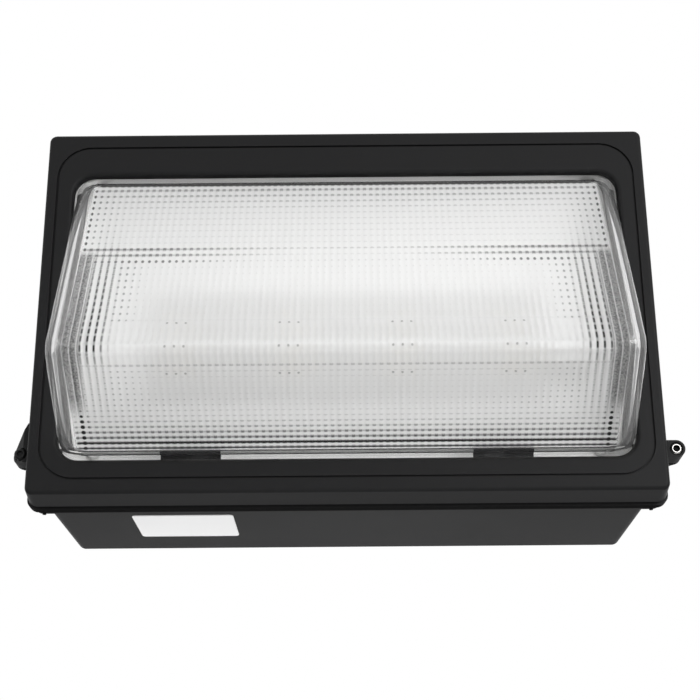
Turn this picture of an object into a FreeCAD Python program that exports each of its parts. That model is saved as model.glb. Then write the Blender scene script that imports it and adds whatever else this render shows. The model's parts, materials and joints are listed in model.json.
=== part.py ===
# Wall pack light: a die-cast housing that bolts to a wall, and a door that carries a prismatic
# glass refractor. The door hangs on two pins along the top and is closed by two captive screws.
#
# Frame, mm: +X to the right seen from the front, +Y into the wall, +Z up. The origin is the centre
# of the flat rear face that lies against the wall, so the front of the light is at negative Y.
# "Depth" below means the distance behind the door's front face.
import FreeCAD, Part
import math
import os

Vector = FreeCAD.Vector

# ---- driving sizes: door -----------------------------------------------------------------------
face_w = 356.0            # door's front face
face_h = 224.0
body_depth = 132.0        # wall to the door's front face
door_depth = 20.0         # front face to the parting line
door_flare = 2.0          # the skirt grows this much on each side towards the parting line
door_wall = 4.0
door_corner = 4.0
door_edge = 2.2           # rounding along the front edge
plate_t = 5.0             # front plate
groove_w = 1.3            # narrow groove round the glass
groove_t = 1.4
groove_side = 6.0         # door edge to the groove
groove_top = 8.5
groove_bottom = 7.7
groove_corner = 20.0
side_bar = 16.5           # door edge to the glass opening
top_bar = 27.5
bottom_bar = 19.5
opening_corner = 12.0
opening_edge = 2.6        # rolled edge of the glass opening

# ---- driving sizes: glass ----------------------------------------------------------------------
glass_t = 4.5
glass_gap = 1.0           # bowl to the opening's upper and lower edge
glass_gap_side = 2.5      # bowl to the opening's left and right edge
bowl_draft = 2.4          # each side of the bowl leans in this much from flange to knee
glass_edge = 5.0          # rounded edges along the two sides
brow_depth = 3.5          # depth at which the upper face starts to slope
sill_reach = 3.5          # the lower lip stands this far in front of the door before it slopes
knee_reach = 65.8         # sharp corner of the two slopes, in front of the door
knee_rise = 40.8          # the same corner, above the lower edge of the opening
knee_radius = 8.0
flange_lap = 6.0          # glass flange behind the front plate
flange_t = 5.0
prism_pitch = 5.4
prism_h = 1.0
prism_margin = 9.0        # clear glass above and below each band of prisms
prism_crest = 0.35        # where a tooth's crest lies, as a share of its pitch
seal_t = 1.5              # silicone ring between the plate and the glass flange
seal_outer_inset = 0.5    # ring inside the flange's edge
seal_inner_inset = 0.8    # ring outside the opening's edge

# ---- driving sizes: glass clips ----------------------------------------------------------------
clip_w = 34.0
clip_x = 88.0             # clips lie this far left and right of the middle
clip_t = 1.5
clip_reach = 12.5         # lower clips reach this far past the edge of the opening
clip_reach_top = -1.0     # upper clips stop short of the opening
clip_heel = 0.5           # strap past its boss
clip_boss_r = 3.5
clip_boss_gap = 1.6       # boss to the glass flange

# ---- driving sizes: housing --------------------------------------------------------------------
seam = 3.0                # parting line between door and housing
rim_over = 3.0            # the rim stands this far outside the door's face
rim_lip = 5.5             # full-size part of the rim
rim_step = 1.2            # the rest of the rim steps in
rim_depth = 13.0
rim_corner = 6.0
rim_overhang_side = 9.5   # rim outside the housing's body
rim_overhang_top = 2.5
body_corner = 5.0
body_draft = 1.0          # the body narrows this much on each side towards the wall
body_edge = 3.0           # rounding along the wall
housing_wall = 3.0
back_wall = 3.5
gasket_w = 3.5
gasket_inset = 1.0        # gasket to the outside of the door's edge
running_gap = 0.3         # closed door to the gasket

# ---- driving sizes: hinge ----------------------------------------------------------------------
hinge_x = 110.0
hinge_depth = 25.0        # pin axis behind the door's face
knuckle_r = 4.2
knuckle_w = 12.0          # door's knuckle
lug_w = 6.0               # each housing lug
knuckle_gap = 0.5
pin_r = 2.0
pin_play = 0.08
pin_head_r = 3.2
pin_head_t = 1.2
pin_tail = 1.0            # pin past the last lug

# ---- driving sizes: closing screws and their ears ----------------------------------------------
ear_z = -86.5
ear_out = 6.8             # screw axis outside the door's face, right ear
ear_out_left = 5.6
ear_r = 5.0
ear_front = 8.0           # ear's front face behind the door's face
ear_ramp_rise = 18.0      # the left ear runs out this far above its screw
ear_fall = 8.4            # the left ear's front face falls this far back towards its tip
ear_back = 36.0           # housing ear's end behind the door's face
pocket_r = 3.8
pocket_depth = 3.0
web_t = 1.5
ear_taper = 0.7           # the housing ear's far end, as a share of its radius
ear_web_inset = 0.5       # web behind the housing ear, inside its outline
screw_r = 2.0
screw_head_r = 3.3
screw_head_t = 3.4
screw_play = 0.35
screw_grip = 6.0          # length inside the housing's ear
ear_hole_r = 2.45
ring_r = 3.4
ring_t = 0.8

# ---- driving sizes: light engine ---------------------------------------------------------------
tray_depth = 32.0         # tray's front behind the door's face
tray_t = 2.0
tray_gap = 5.5            # tray to the housing's wall
tray_lip = 14.0
tray_corner = 5.0
post_r = 5.0
post_inset_x = 17.0       # posts inside the tray's edge
post_inset_z = 24.0
post_rib_t = 2.5
post_rib_h = 45.0
reflector_t = 0.8
reflector_rise = 7.2
reflector_lean_x = 11.0
reflector_lean_z = 18.0
reflector_foot = 10.0
reflector_corner = 8.0
foot_corner = 5.0
board_lane = 24.0         # reflector's foot to the board, room for the bushing
board_h = 62.0
board_t = 1.6
board_corner = 3.0
board_z = -18.0
pad_t = 0.5
cluster_pitch = 64.0
cluster_count = 4
led_rows = 3
led_columns = 3
led_pitch_x = 7.0
led_pitch_z = 13.0
led_size = 3.0
led_t = 0.8
board_screw_inset = 6.0
post_bore = 8.0

# ---- driving sizes: gear on the back wall ------------------------------------------------------
stand_off = 5.0           # bosses under the driver and the other modules
boss_r = 4.5
tab_l = 12.0
tab_t = 1.5
case_corner = 3.0
block_corner = 1.0
driver_size = (140.0, 46.0, 30.0)      # width, height, thickness
driver_at = (25.0, -45.0)              # x, z
surge_size = (36.0, 36.0, 24.0)
surge_at = (105.0, 22.0)
block_size = (44.0, 22.0, 18.0)
block_at = (-86.0, 22.0)
pole_pitch = 13.0
pole_well_r = 3.0
wire_hole_play = 0.6
fixing_r = 1.9            # small machine screws
fixing_head_r = 3.6
fixing_head_t = 2.4
fixing_bite = 4.5
wire_r = 1.3
wire_bend = 10.0
lead_pitch = 10.0
lead_spread = 2.2         # output leads above and below the bushing's middle
lead_land = 1.0           # leads end this far inside the board's edge
bushing_r = 8.0           # bushing where the leads pass the tray
bushing_bore_r = 5.2
bushing_flange = 2.0

# ---- driving sizes: wall interface and entries -------------------------------------------------
bolt_x = 254.0
bolt_z = 140.0
bolt_hole_r = 3.5
box_pitch = 88.9          # junction box ears
box_hole_r = 2.5
entry_z = 45.0            # wire entry above the middle
entry_hole_r = 11.0
grommet_bore_r = 7.0
grommet_flange = 3.0
grommet_t = 2.0
conduit_r = 10.2          # half-inch conduit thread
conduit_wall = 12.0
conduit_boss_r = 16.0
conduit_from_wall = 46.0
plug_flange_r = 13.0
plug_flange_t = 2.5
plug_hex = 10.0
plug_hex_t = 6.0
seal_ring_t = 1.2
seal_ring_inset = 0.5
spot_face = 0.25          # flat faces under the plugs stand this far out of the sloping wall
ground_at = (62.0, 64.0)
ground_head_r = 4.2
nub_inset = 8.0           # cast nubs under the rim, inside its ends
nub_r = 1.1
nub_h = 1.0

over = 1.0                # cuts and joined pieces run this far past the face they meet

# ---- derived planes and outlines ---------------------------------------------------------------
def behind(depth):
    """Y of the plane that lies this far behind the door's front face."""
    return depth - body_depth

rim_depth_at = door_depth + seam
rim_half_w = face_w / 2 + rim_over
rim_half_h = face_h / 2 + rim_over
body_half_w = rim_half_w - rim_overhang_side
body_half_h = rim_half_h - rim_overhang_top
hollow_half_w = body_half_w - housing_wall
hollow_half_h = body_half_h - housing_wall
open_half_w = face_w / 2 - side_bar
open_top = face_h / 2 - top_bar
open_low = bottom_bar - face_h / 2
flange_depth = plate_t + seal_t
clip_depth = flange_depth + flange_t
hinge_y = behind(hinge_depth)
hinge_z = rim_half_h + knuckle_r
hinge_half = knuckle_w / 2 + knuckle_gap + lug_w
right_ear_x = face_w / 2 + ear_out
left_ear_x = -face_w / 2 - ear_out_left
tray_half_w = hollow_half_w - tray_gap
tray_half_h = hollow_half_h - tray_gap
post_x = tray_half_w - post_inset_x
post_z = tray_half_h - post_inset_z
board_depth = tray_depth - pad_t - board_t
floor_y = -back_wall
module_y = floor_y - stand_off
conduit_y = -conduit_from_wall
board_half_w = tray_half_w - reflector_lean_x - reflector_foot - board_lane
bushing_x = board_half_w + board_lane / 2
bushing_z = driver_at[1] + driver_size[1] / 4
conduit_share = conduit_from_wall / (body_depth - rim_depth_at - rim_depth + over)
conduit_side = body_half_w - body_draft * (1 - conduit_share) + spot_face
conduit_top = body_half_h - body_draft * (1 - conduit_share) + spot_face


# ---- helpers -----------------------------------------------------------------------------------
def outline(half_w, low, high, radius, y):
    """Rounded rectangle in the plane Y = y, from z = low to z = high."""
    k = radius * (1 - math.sqrt(0.5))
    x0, x1 = -half_w, half_w
    lines = [
        (Vector(x0 + radius, y, low), Vector(x1 - radius, y, low)),
        (Vector(x1, y, low + radius), Vector(x1, y, high - radius)),
        (Vector(x1 - radius, y, high), Vector(x0 + radius, y, high)),
        (Vector(x0, y, high - radius), Vector(x0, y, low + radius)),
    ]
    middles = [
        Vector(x1 - k, y, low + k),
        Vector(x1 - k, y, high - k),
        Vector(x0 + k, y, high - k),
        Vector(x0 + k, y, low + k),
    ]
    edges = []
    for i, (start, end) in enumerate(lines):
        edges.append(Part.makeLine(start, end))
        edges.append(Part.Arc(end, middles[i], lines[(i + 1) % 4][0]).toShape())
    return Part.Wire(edges)


def slab(half_w, low, high, radius, y, thickness):
    """Rounded rectangular plate from y to y + thickness."""
    return Part.Face(outline(half_w, low, high, radius, y)).extrude(Vector(0, thickness, 0))


def tapered(front, back):
    """Solid between two rounded rectangles."""
    return Part.makeLoft([outline(*front), outline(*back)], True, True)


def frame_ring(outer, inner, y, thickness):
    """Flat ring between two rounded rectangles, each (half width, low, high, radius)."""
    return slab(*outer, y, thickness).cut(slab(*inner, y - over, thickness + 2 * over))


def rod(x, z, radius, y_start, y_end):
    """Round bar along Y."""
    return Part.makeCylinder(radius, y_end - y_start, Vector(x, y_start, z), Vector(0, 1, 0))


def rod_x(radius, x_start, x_end, y, z):
    """Round bar along X."""
    return Part.makeCylinder(radius, x_end - x_start, Vector(x_start, y, z), Vector(1, 0, 0))


def block(x0, x1, y0, y1, z0, z1):
    return Part.makeBox(x1 - x0, y1 - y0, z1 - z0, Vector(x0, y0, z0))


def bar_x(points, x_start, x_end):
    """Bar along X whose section is the closed polygon of (y, z) points."""
    corners = [Vector(x_start, y, z) for y, z in points]
    face = Part.Face(Part.makePolygon(corners + corners[:1]))
    return face.extrude(Vector(x_end - x_start, 0, 0))


def plate_y(points, y_start, y_end):
    """Plate whose outline is the closed polygon of (x, z) points."""
    corners = [Vector(x, y_start, z) for x, z in points]
    face = Part.Face(Part.makePolygon(corners + corners[:1]))
    return face.extrude(Vector(0, y_end - y_start, 0))


def hexagon(x, z, across, y_start, y_end):
    """Hexagonal bar along Y."""
    radius = across / math.sqrt(3)
    turns = [math.radians(60 * i) for i in range(6)]
    corners = [(x + radius * math.cos(t), z + radius * math.sin(t)) for t in turns]
    return plate_y(corners, y_start, y_end)


def tangent_point(px, pz, cx, cz, radius, side):
    """Point where the line from (px, pz) touches a circle, on the chosen side."""
    away = math.hypot(px - cx, pz - cz)
    turn = math.atan2(pz - cz, px - cx) + side * math.acos(radius / away)
    return cx + radius * math.cos(turn), cz + radius * math.sin(turn)


def edges_in_plane(shape, y, half_w=face_w, low=-face_h, high=face_h):
    """Edges that lie in the plane Y = y inside the given window, which holds the whole part."""
    found = []
    for edge in shape.Edges:
        box = edge.BoundBox
        flat = abs(box.YMin - y) < 0.01 and abs(box.YMax - y) < 0.01
        inside = max(-box.XMin, box.XMax) < half_w and box.ZMin > low and box.ZMax < high
        if flat and inside:
            found.append(edge)
    return found


def machine_screw(x, z, seat_y, head_r, head_t, shank_r, shank_l):
    """Screw driven towards +Y: a slightly domed head with a hexagon socket, and its shank."""
    head = rod(x, z, head_r, seat_y - head_t, seat_y)
    head = head.makeChamfer(head_t / 4, edges_in_plane(head, seat_y - head_t))
    socket = hexagon(x, z, head_r, seat_y - head_t - over, seat_y - head_t / 2)
    return head.cut(socket).fuse(rod(x, z, shank_r, seat_y, seat_y + shank_l)).removeSplitter()


def wire_run(points, radius, bends):
    """Insulated wire along straight runs joined by tangent arcs."""
    edges = []
    start = points[0]
    for i, bend in enumerate(bends):
        corner = points[i + 1]
        before = (points[i] - corner).normalize()
        after = (points[i + 2] - corner).normalize()
        half = before.getAngle(after) / 2
        reach = bend / math.tan(half)
        enter = corner + before * reach
        leave = corner + after * reach
        inward = (before + after).normalize()
        middle = corner + inward * (bend / math.sin(half) - bend)
        edges.append(Part.makeLine(start, enter))
        edges.append(Part.Arc(enter, middle, leave).toShape())
        start = leave
    edges.append(Part.makeLine(start, points[-1]))
    path = Part.Wire(edges)
    ring = Part.makeCircle(radius, points[0], points[1] - points[0])
    return path.makePipeShell([Part.Wire(ring)], True, False)


def solids(shapes):
    return Part.makeCompound(shapes)


# ---- door --------------------------------------------------------------------------------------
def hinge_arm(x0, x1, foot, play):
    """Knuckle round the hinge axis with a web down to the foot, a list of (y, z) points."""
    arm = rod_x(knuckle_r, x0, x1, hinge_y, hinge_z)
    first = tangent_point(*foot[0], hinge_y, hinge_z, knuckle_r, -1)
    last = tangent_point(*foot[-1], hinge_y, hinge_z, knuckle_r, 1)
    arm = arm.fuse(bar_x([first] + foot + [last], x0, x1))
    return arm.cut(rod_x(pin_r + play, x0 - over, x1 + over, hinge_y, hinge_z))


def door_knuckles():
    top = face_h / 2
    foot = [
        (behind(ear_front), top),
        (behind(ear_front), top - door_wall / 2),
        (behind(door_depth), top - door_wall / 2),
        (behind(door_depth), rim_half_h + running_gap),
    ]
    half = knuckle_w / 2
    return [hinge_arm(side * hinge_x - half, side * hinge_x + half, foot, pin_play)
            for side in (-1, 1)]


def right_door_ear():
    inner = face_w / 2 - door_wall / 2
    y0, y1 = behind(ear_front), behind(door_depth)
    ear = rod(right_ear_x, ear_z, ear_r, y0, y1)
    return ear.fuse(block(inner, right_ear_x, y0, y1, ear_z - ear_r, ear_z + ear_r))


def left_ear_outline():
    """Wedge that runs out upwards along the door's side and ends in a round boss."""
    inner = -face_w / 2 + door_wall / 2
    tip = (-face_w / 2 - door_flare, ear_z + ear_ramp_rise)
    touch = tangent_point(*tip, left_ear_x, ear_z, ear_r, 1)
    return [(inner, ear_z + ear_ramp_rise), tip, touch,
            (left_ear_x, ear_z - ear_r), (inner, ear_z - ear_r)]


def left_door_ear():
    y0, y1 = behind(ear_front), behind(door_depth)
    ear = plate_y(left_ear_outline(), y0, y1).fuse(rod(left_ear_x, ear_z, ear_r, y0, y1))
    near = -face_w / 2 - 2 * door_flare
    far = left_ear_x - ear_r - over
    rake = Part.makePolygon([Vector(near, y0 - over, -face_h), Vector(far, y0 - over, -face_h),
                             Vector(far, y0 + ear_fall, -face_h), Vector(near, y0, -face_h),
                             Vector(near, y0 - over, -face_h)])
    return ear.cut(Part.Face(rake).extrude(Vector(0, 0, 2 * face_h)))


def screw_passage(x):
    """Stepped hole through a door ear: head pocket, thin web, and room for the retaining ring."""
    seat = ear_front + pocket_depth
    front = rod(x, ear_z, pocket_r, behind(ear_front) - over, behind(seat))
    web = rod(x, ear_z, screw_r + screw_play, behind(seat) - over, behind(door_depth) + over)
    back = rod(x, ear_z, pocket_r, behind(seat + web_t), behind(door_depth) + over)
    return front.fuse([web, back])


def clip_places():
    """(x, z of the screw, +1 for lower clips and -1 for upper ones) for the four glass clips."""
    away = flange_lap + clip_boss_gap + clip_boss_r
    places = []
    for x in (-clip_x, clip_x):
        places.append((x, open_low - away, 1))
        places.append((x, open_top + away, -1))
    return places


def door_frame():
    half_w, half_h = face_w / 2, face_h / 2
    skin = tapered((half_w, -half_h, half_h, door_corner, behind(0)),
                   (half_w + door_flare, -half_h - door_flare, half_h + door_flare,
                    door_corner + door_flare, behind(door_depth)))
    skin = skin.makeFillet(door_edge, edges_in_plane(skin, behind(0)))
    reach, low, high = half_w - groove_side, groove_bottom - half_h, half_h - groove_top
    groove = frame_ring((reach, low, high, groove_corner),
                        (reach - groove_w, low + groove_w, high - groove_w, groove_corner - groove_w),
                        behind(0) - over, groove_t + over)
    opening = slab(open_half_w, open_low, open_top, opening_corner, behind(0) - over,
                   plate_t + 2 * over)
    skin = skin.cut([groove, opening])
    lip = edges_in_plane(skin, behind(0), open_half_w + over, open_low - over, open_top + over)
    skin = skin.makeFillet(opening_edge, lip)
    inner_w, inner_h = half_w - door_wall, half_h - door_wall
    hollow = slab(inner_w, -inner_h, inner_h, door_corner, behind(plate_t), door_depth)
    bosses = [rod(x, z, clip_boss_r, behind(plate_t) - over, behind(clip_depth))
              for x, z, _ in clip_places()]
    ears = [right_door_ear(), left_door_ear()]
    frame = skin.cut(hollow).fuse(bosses + ears + door_knuckles())
    holes = [rod(x, z, fixing_r, behind(plate_t), behind(clip_depth) + over)
             for x, z, _ in clip_places()]
    frame = frame.cut(holes + [screw_passage(right_ear_x), screw_passage(left_ear_x)])
    return frame.removeSplitter()


def lens_seal():
    out = flange_lap - seal_outer_inset
    outer = (open_half_w + out, open_low - out, open_top + out, opening_corner + out)
    out = seal_inner_inset
    inner = (open_half_w + out, open_low - out, open_top + out, opening_corner + out)
    return frame_ring(outer, inner, behind(plate_t), seal_t)


# ---- glass -------------------------------------------------------------------------------------
def cross(p, d, q, e):
    """Where the line through p along d meets the line through q along e, in (y, z)."""
    t = ((q[0] - p[0]) * e[1] - (q[1] - p[1]) * e[0]) / (d[0] * e[1] - d[1] * e[0])
    return p[0] + d[0] * t, p[1] + d[1] * t


def toward(p, q):
    length = math.hypot(q[0] - p[0], q[1] - p[1])
    return (q[0] - p[0]) / length, (q[1] - p[1]) / length


def bowl_corners(inset):
    """Side view of the bowl as (y, z): brow, knee and sill, moved inwards by the inset."""
    brow = (behind(brow_depth), open_top - glass_gap)
    knee = (behind(-knee_reach), open_low + knee_rise)
    sill = (behind(-sill_reach), open_low + glass_gap)
    upper, lower = toward(brow, knee), toward(knee, sill)
    upper_in = (brow[0] - upper[1] * inset, brow[1] + upper[0] * inset)
    lower_in = (knee[0] - lower[1] * inset, knee[1] + lower[0] * inset)
    moved_brow = cross(upper_in, upper, (0, brow[1] - inset), (1, 0))
    moved_knee = cross(upper_in, upper, lower_in, lower)
    moved_sill = cross(lower_in, lower, (0, sill[1] + inset), (1, 0))
    return moved_brow, moved_knee, moved_sill


def prism_points(start, end, count, height):
    """Saw-tooth line from start to end whose teeth rise on the inner side of the glass."""
    along = toward(start, end)
    inward = (-along[1], along[0])
    length = math.hypot(end[0] - start[0], end[1] - start[1])
    tooth = length / count
    points = [start]
    for i in range(count):
        crest = (i + prism_crest) * tooth
        foot = (i + 1) * tooth
        points.append((start[0] + along[0] * crest + inward[0] * height,
                       start[1] + along[1] * crest + inward[1] * height))
        points.append((start[0] + along[0] * foot, start[1] + along[1] * foot))
    return points


def banded(p, q):
    """Inner line from p to q: clear glass, a band of prisms, and clear glass again."""
    along = toward(p, q)
    length = math.hypot(q[0] - p[0], q[1] - p[1])
    start = (p[0] + along[0] * prism_margin, p[1] + along[1] * prism_margin)
    end = (q[0] - along[0] * prism_margin, q[1] - along[1] * prism_margin)
    count = max(1, round((length - 2 * prism_margin) / prism_pitch))
    return [p] + prism_points(start, end, count, prism_h) + [q]


def side_edges(shape, y_back):
    """Edges of the bowl's two side faces, apart from those in its back plane."""
    found = []
    for face in shape.Faces:
        if abs(face.normalAt(0, 0).x) > 0.9:
            found += [edge for edge in face.Edges if edge.BoundBox.YMin < y_back - 0.1]
    return found


def between_sides(section, inset, y_back, y_front):
    """Bar with the section's outline, cut off by the bowl's two leaning sides."""
    half_w = open_half_w - glass_gap_side - inset
    bar = bar_x(section, -half_w - over, half_w + over)
    lean = bowl_draft * (y_back - y_front) / (flange_depth + knee_reach)
    sides = Part.makePolygon([Vector(-half_w, y_back, -face_h), Vector(half_w, y_back, -face_h),
                              Vector(half_w - lean, y_front, -face_h),
                              Vector(lean - half_w, y_front, -face_h),
                              Vector(-half_w, y_back, -face_h)])
    return bar.common(Part.Face(sides).extrude(Vector(0, 0, 2 * face_h)))


def glass_refractor():
    back = behind(flange_depth)
    front = behind(-knee_reach) - over
    brow, knee, sill = bowl_corners(0)
    bowl = between_sides([(back, brow[1]), brow, knee, sill, (back, sill[1])], 0, back, front)
    knee_edge = [e for e in bowl.Edges
                 if e.BoundBox.XLength > open_half_w and e.BoundBox.YMax < knee[0] + over]
    bowl = bowl.makeFillet(knee_radius, knee_edge)
    bowl = bowl.makeFillet(glass_edge, side_edges(bowl, back))
    bowl = bowl.common(slab(open_half_w - glass_gap_side, sill[1], brow[1], opening_corner - glass_gap,
                            front, back - front))
    flange = slab(open_half_w + flange_lap, open_low - flange_lap, open_top + flange_lap,
                  opening_corner + flange_lap, back, flange_t)
    brow_in, knee_in, sill_in = bowl_corners(glass_t)
    end = back + flange_t + over
    section = [(end, brow_in[1])] + banded(brow_in, knee_in)
    section += banded(knee_in, sill_in) + [(end, sill_in[1])]
    inside = between_sides(section, glass_t, end, front)
    return bowl.fuse(flange).cut(inside).removeSplitter()


def lens_clips():
    clips = []
    y0, y1 = behind(clip_depth), behind(clip_depth + clip_t)
    for x, z, up in clip_places():
        reach = clip_reach if up > 0 else clip_reach_top
        edge = open_low if up > 0 else open_top
        tip = edge + up * reach
        heel = z - up * (clip_boss_r + clip_heel)
        x0, x1 = x - clip_w / 2, x + clip_w / 2
        strap = block(x0, x1, y0, y1, min(tip, heel), max(tip, heel))
        clips.append(strap.cut(rod(x, z, fixing_r, y0 - over, y1 + over)))
    return solids(clips)


def lens_clip_screws():
    """Screws driven forwards from behind the clips, so each is a mirrored machine screw."""
    seat = behind(clip_depth + clip_t)
    screws = []
    for x, z, _ in clip_places():
        screw = machine_screw(x, z, -seat, fixing_head_r, fixing_head_t, fixing_r, fixing_bite)
        screws.append(screw.mirror(Vector(0, 0, 0), Vector(0, 1, 0)))
    return solids(screws)


# ---- closing screws ----------------------------------------------------------------------------
def closing_screw(x):
    seat = behind(ear_front + pocket_depth)
    length = door_depth + seam + screw_grip - ear_front - pocket_depth
    return machine_screw(x, ear_z, seat, screw_head_r, screw_head_t, screw_r, length)


def retaining_ring(x):
    y1 = behind(door_depth)
    ring = rod(x, ear_z, ring_r, y1 - ring_t, y1)
    return ring.cut(rod(x, ear_z, screw_r, y1 - ring_t - over, y1 + over))


# ---- housing -----------------------------------------------------------------------------------
def housing_shell():
    y_rim = behind(rim_depth_at)
    rim = slab(rim_half_w, -rim_half_h, rim_half_h, rim_corner, y_rim, rim_lip)
    step = slab(rim_half_w - rim_step, rim_step - rim_half_h, rim_half_h - rim_step, rim_corner,
                y_rim + rim_lip - over, rim_depth - rim_lip + over)
    y_body = y_rim + rim_depth - over
    body = tapered((body_half_w, -body_half_h, body_half_h, body_corner, y_body),
                   (body_half_w - body_draft, body_draft - body_half_h, body_half_h - body_draft,
                    body_corner, 0))
    body = body.makeFillet(body_edge, edges_in_plane(body, 0))
    hollow = tapered((hollow_half_w, -hollow_half_h, hollow_half_h, body_corner, y_rim - over),
                     (hollow_half_w - body_draft, body_draft - hollow_half_h, hollow_half_h - body_draft,
                      body_corner, floor_y))
    return rim.fuse([step, body]).cut(hollow)


def housing_posts():
    """Cast posts under the tray's corners, each tied to the side wall by a rib."""
    parts = []
    y_top = behind(tray_depth + tray_t)
    for sx in (-1, 1):
        for sz in (-1, 1):
            x, z = sx * post_x, sz * post_z
            parts.append(rod(x, z, post_r, y_top, floor_y + over))
            wall = sx * (hollow_half_w - body_draft + housing_wall / 2)
            parts.append(block(min(x, wall), max(x, wall), floor_y - post_rib_h, floor_y + over,
                               z - post_rib_t / 2, z + post_rib_t / 2))
    return parts


def module_screws_at(size, place):
    """Screw places at the two end tabs of a module."""
    reach = size[0] / 2 + tab_l / 2
    return [(place[0] - reach, place[1]), (place[0] + reach, place[1])]


def modules():
    return [(driver_size, driver_at), (surge_size, surge_at), (block_size, block_at)]


def module_places():
    return [spot for size, place in modules() for spot in module_screws_at(size, place)]


def right_housing_ear():
    """Round lug behind the door's ear that tapers back into the side wall."""
    y0, y1 = behind(rim_depth_at), behind(ear_back)
    wide = Part.Wire(Part.makeCircle(ear_r, Vector(right_ear_x, y0, ear_z), Vector(0, 1, 0)))
    end = Part.makeCircle(ear_r * ear_taper, Vector(right_ear_x - ear_r, y1, ear_z), Vector(0, 1, 0))
    small = Part.Wire(end)
    lug = Part.makeLoft([wide, small], True, True)
    inner = body_half_w - housing_wall / 2
    half = ear_r - ear_web_inset
    return lug.fuse(block(inner, right_ear_x - over, y0, y0 + rim_depth, ear_z - half, ear_z + half))


def housing_ears():
    right = right_housing_ear()
    shift = right_ear_x + left_ear_x
    left = right.mirror(Vector(0, 0, 0), Vector(1, 0, 0))
    left.translate(Vector(shift, 0, 0))
    return [right, left]


def hinge_spans():
    """X spans of the housing lugs, two to each hinge."""
    inner = knuckle_w / 2 + knuckle_gap
    spans = []
    for side in (-1, 1):
        for reach in (-inner - lug_w, inner):
            spans.append((side * hinge_x + reach, side * hinge_x + reach + lug_w))
    return spans


def housing_lugs():
    y0 = behind(rim_depth_at)
    base = rim_half_h - rim_step - over
    foot = [(y0, rim_half_h), (y0, base), (y0 + rim_depth, base),
            (y0 + rim_depth, rim_half_h - rim_step)]
    return [hinge_arm(x0, x1, foot, 0) for x0, x1 in hinge_spans()]


def knuckle_pockets():
    """Room in the rim's top for the door's knuckles to turn."""
    half = knuckle_w / 2 + knuckle_gap
    radius = knuckle_r + knuckle_gap
    return [rod_x(radius, side * hinge_x - half, side * hinge_x + half, hinge_y, hinge_z)
            for side in (-1, 1)]


def conduit_bosses():
    reach = conduit_side - conduit_wall
    left = rod_x(conduit_boss_r, -conduit_side, -reach, conduit_y, 0)
    right = rod_x(conduit_boss_r, reach, conduit_side, conduit_y, 0)
    foot = Vector(0, conduit_y, conduit_top - conduit_wall)
    upper = Part.makeCylinder(conduit_boss_r, conduit_wall, foot)
    return [left, right, upper]


def conduit_holes():
    across = rod_x(conduit_r, -face_w, face_w, conduit_y, 0)
    middle = block(-body_half_w / 2, body_half_w / 2, behind(0), 0, -face_h, face_h)
    upper = Part.makeCylinder(conduit_r, face_h, Vector(0, conduit_y, hollow_half_h / 2))
    return [across.cut(middle), upper]


def wall_holes():
    holes = [rod(0, entry_z, entry_hole_r, floor_y - over, over)]
    for sx in (-1, 1):
        holes.append(rod(sx * box_pitch / 2, entry_z, box_hole_r, floor_y - over, over))
        for sz in (-1, 1):
            holes.append(rod(sx * bolt_x / 2, sz * bolt_z / 2, bolt_hole_r, floor_y - over, over))
    return holes


def rim_nubs():
    x = rim_half_w - nub_inset
    y = behind(rim_depth_at) + rim_depth - nub_r - over
    low = rim_step - rim_half_h
    return [Part.makeCylinder(nub_r, nub_h + over, Vector(side * x, y, low - nub_h)) for side in (-1, 1)]


def rear_housing():
    spots = module_places() + [ground_at]
    bosses = [rod(x, z, boss_r, module_y, floor_y + over) for x, z in spots]
    grown = housing_posts() + bosses + housing_ears() + conduit_bosses() + rim_nubs()
    shell = housing_shell().fuse(grown)
    shell = shell.cut(knuckle_pockets()).fuse(housing_lugs())
    half = hinge_half + pin_tail
    pins = [rod_x(pin_r, side * hinge_x - half, side * hinge_x + half, hinge_y, hinge_z)
            for side in (-1, 1)]
    y_rim = behind(rim_depth_at)
    grips = [rod(x, ear_z, ear_hole_r, y_rim - over, y_rim + screw_grip + 2 * over)
             for x in (left_ear_x, right_ear_x)]
    posts = [rod(x, z, fixing_r, behind(tray_depth), behind(tray_depth + tray_t) + post_bore)
             for x, z in post_places()]
    taps = [rod(x, z, fixing_r, module_y - over, module_y + fixing_bite) for x, z in spots]
    shell = shell.cut(pins + grips + posts + taps + wall_holes() + conduit_holes())
    return shell.removeSplitter()


def door_gasket():
    half_w = face_w / 2 + door_flare - gasket_inset
    half_h = face_h / 2 + door_flare - gasket_inset
    outer = (half_w, -half_h, half_h, rim_corner)
    inner = (half_w - gasket_w, gasket_w - half_h, half_h - gasket_w, rim_corner - gasket_w)
    return frame_ring(outer, inner, behind(door_depth + running_gap), seam - running_gap)


def hinge_pins():
    pins = []
    for side in (-1, 1):
        x0, x1 = side * hinge_x - hinge_half, side * hinge_x + hinge_half
        pin = rod_x(pin_r, x0, x1 + pin_tail, hinge_y, hinge_z)
        pins.append(pin.fuse(rod_x(pin_head_r, x0 - pin_head_t, x0, hinge_y, hinge_z)))
    return solids(pins)


# ---- light engine ------------------------------------------------------------------------------
def board_screw_places():
    reach_x = board_half_w - board_screw_inset
    reach_z = board_h / 2 - board_screw_inset
    return [(x, board_z + sz * reach_z) for x in (-reach_x, 0, reach_x) for sz in (-1, 1)]


def post_places():
    return [(sx * post_x, sz * post_z) for sx in (-1, 1) for sz in (-1, 1)]


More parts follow.
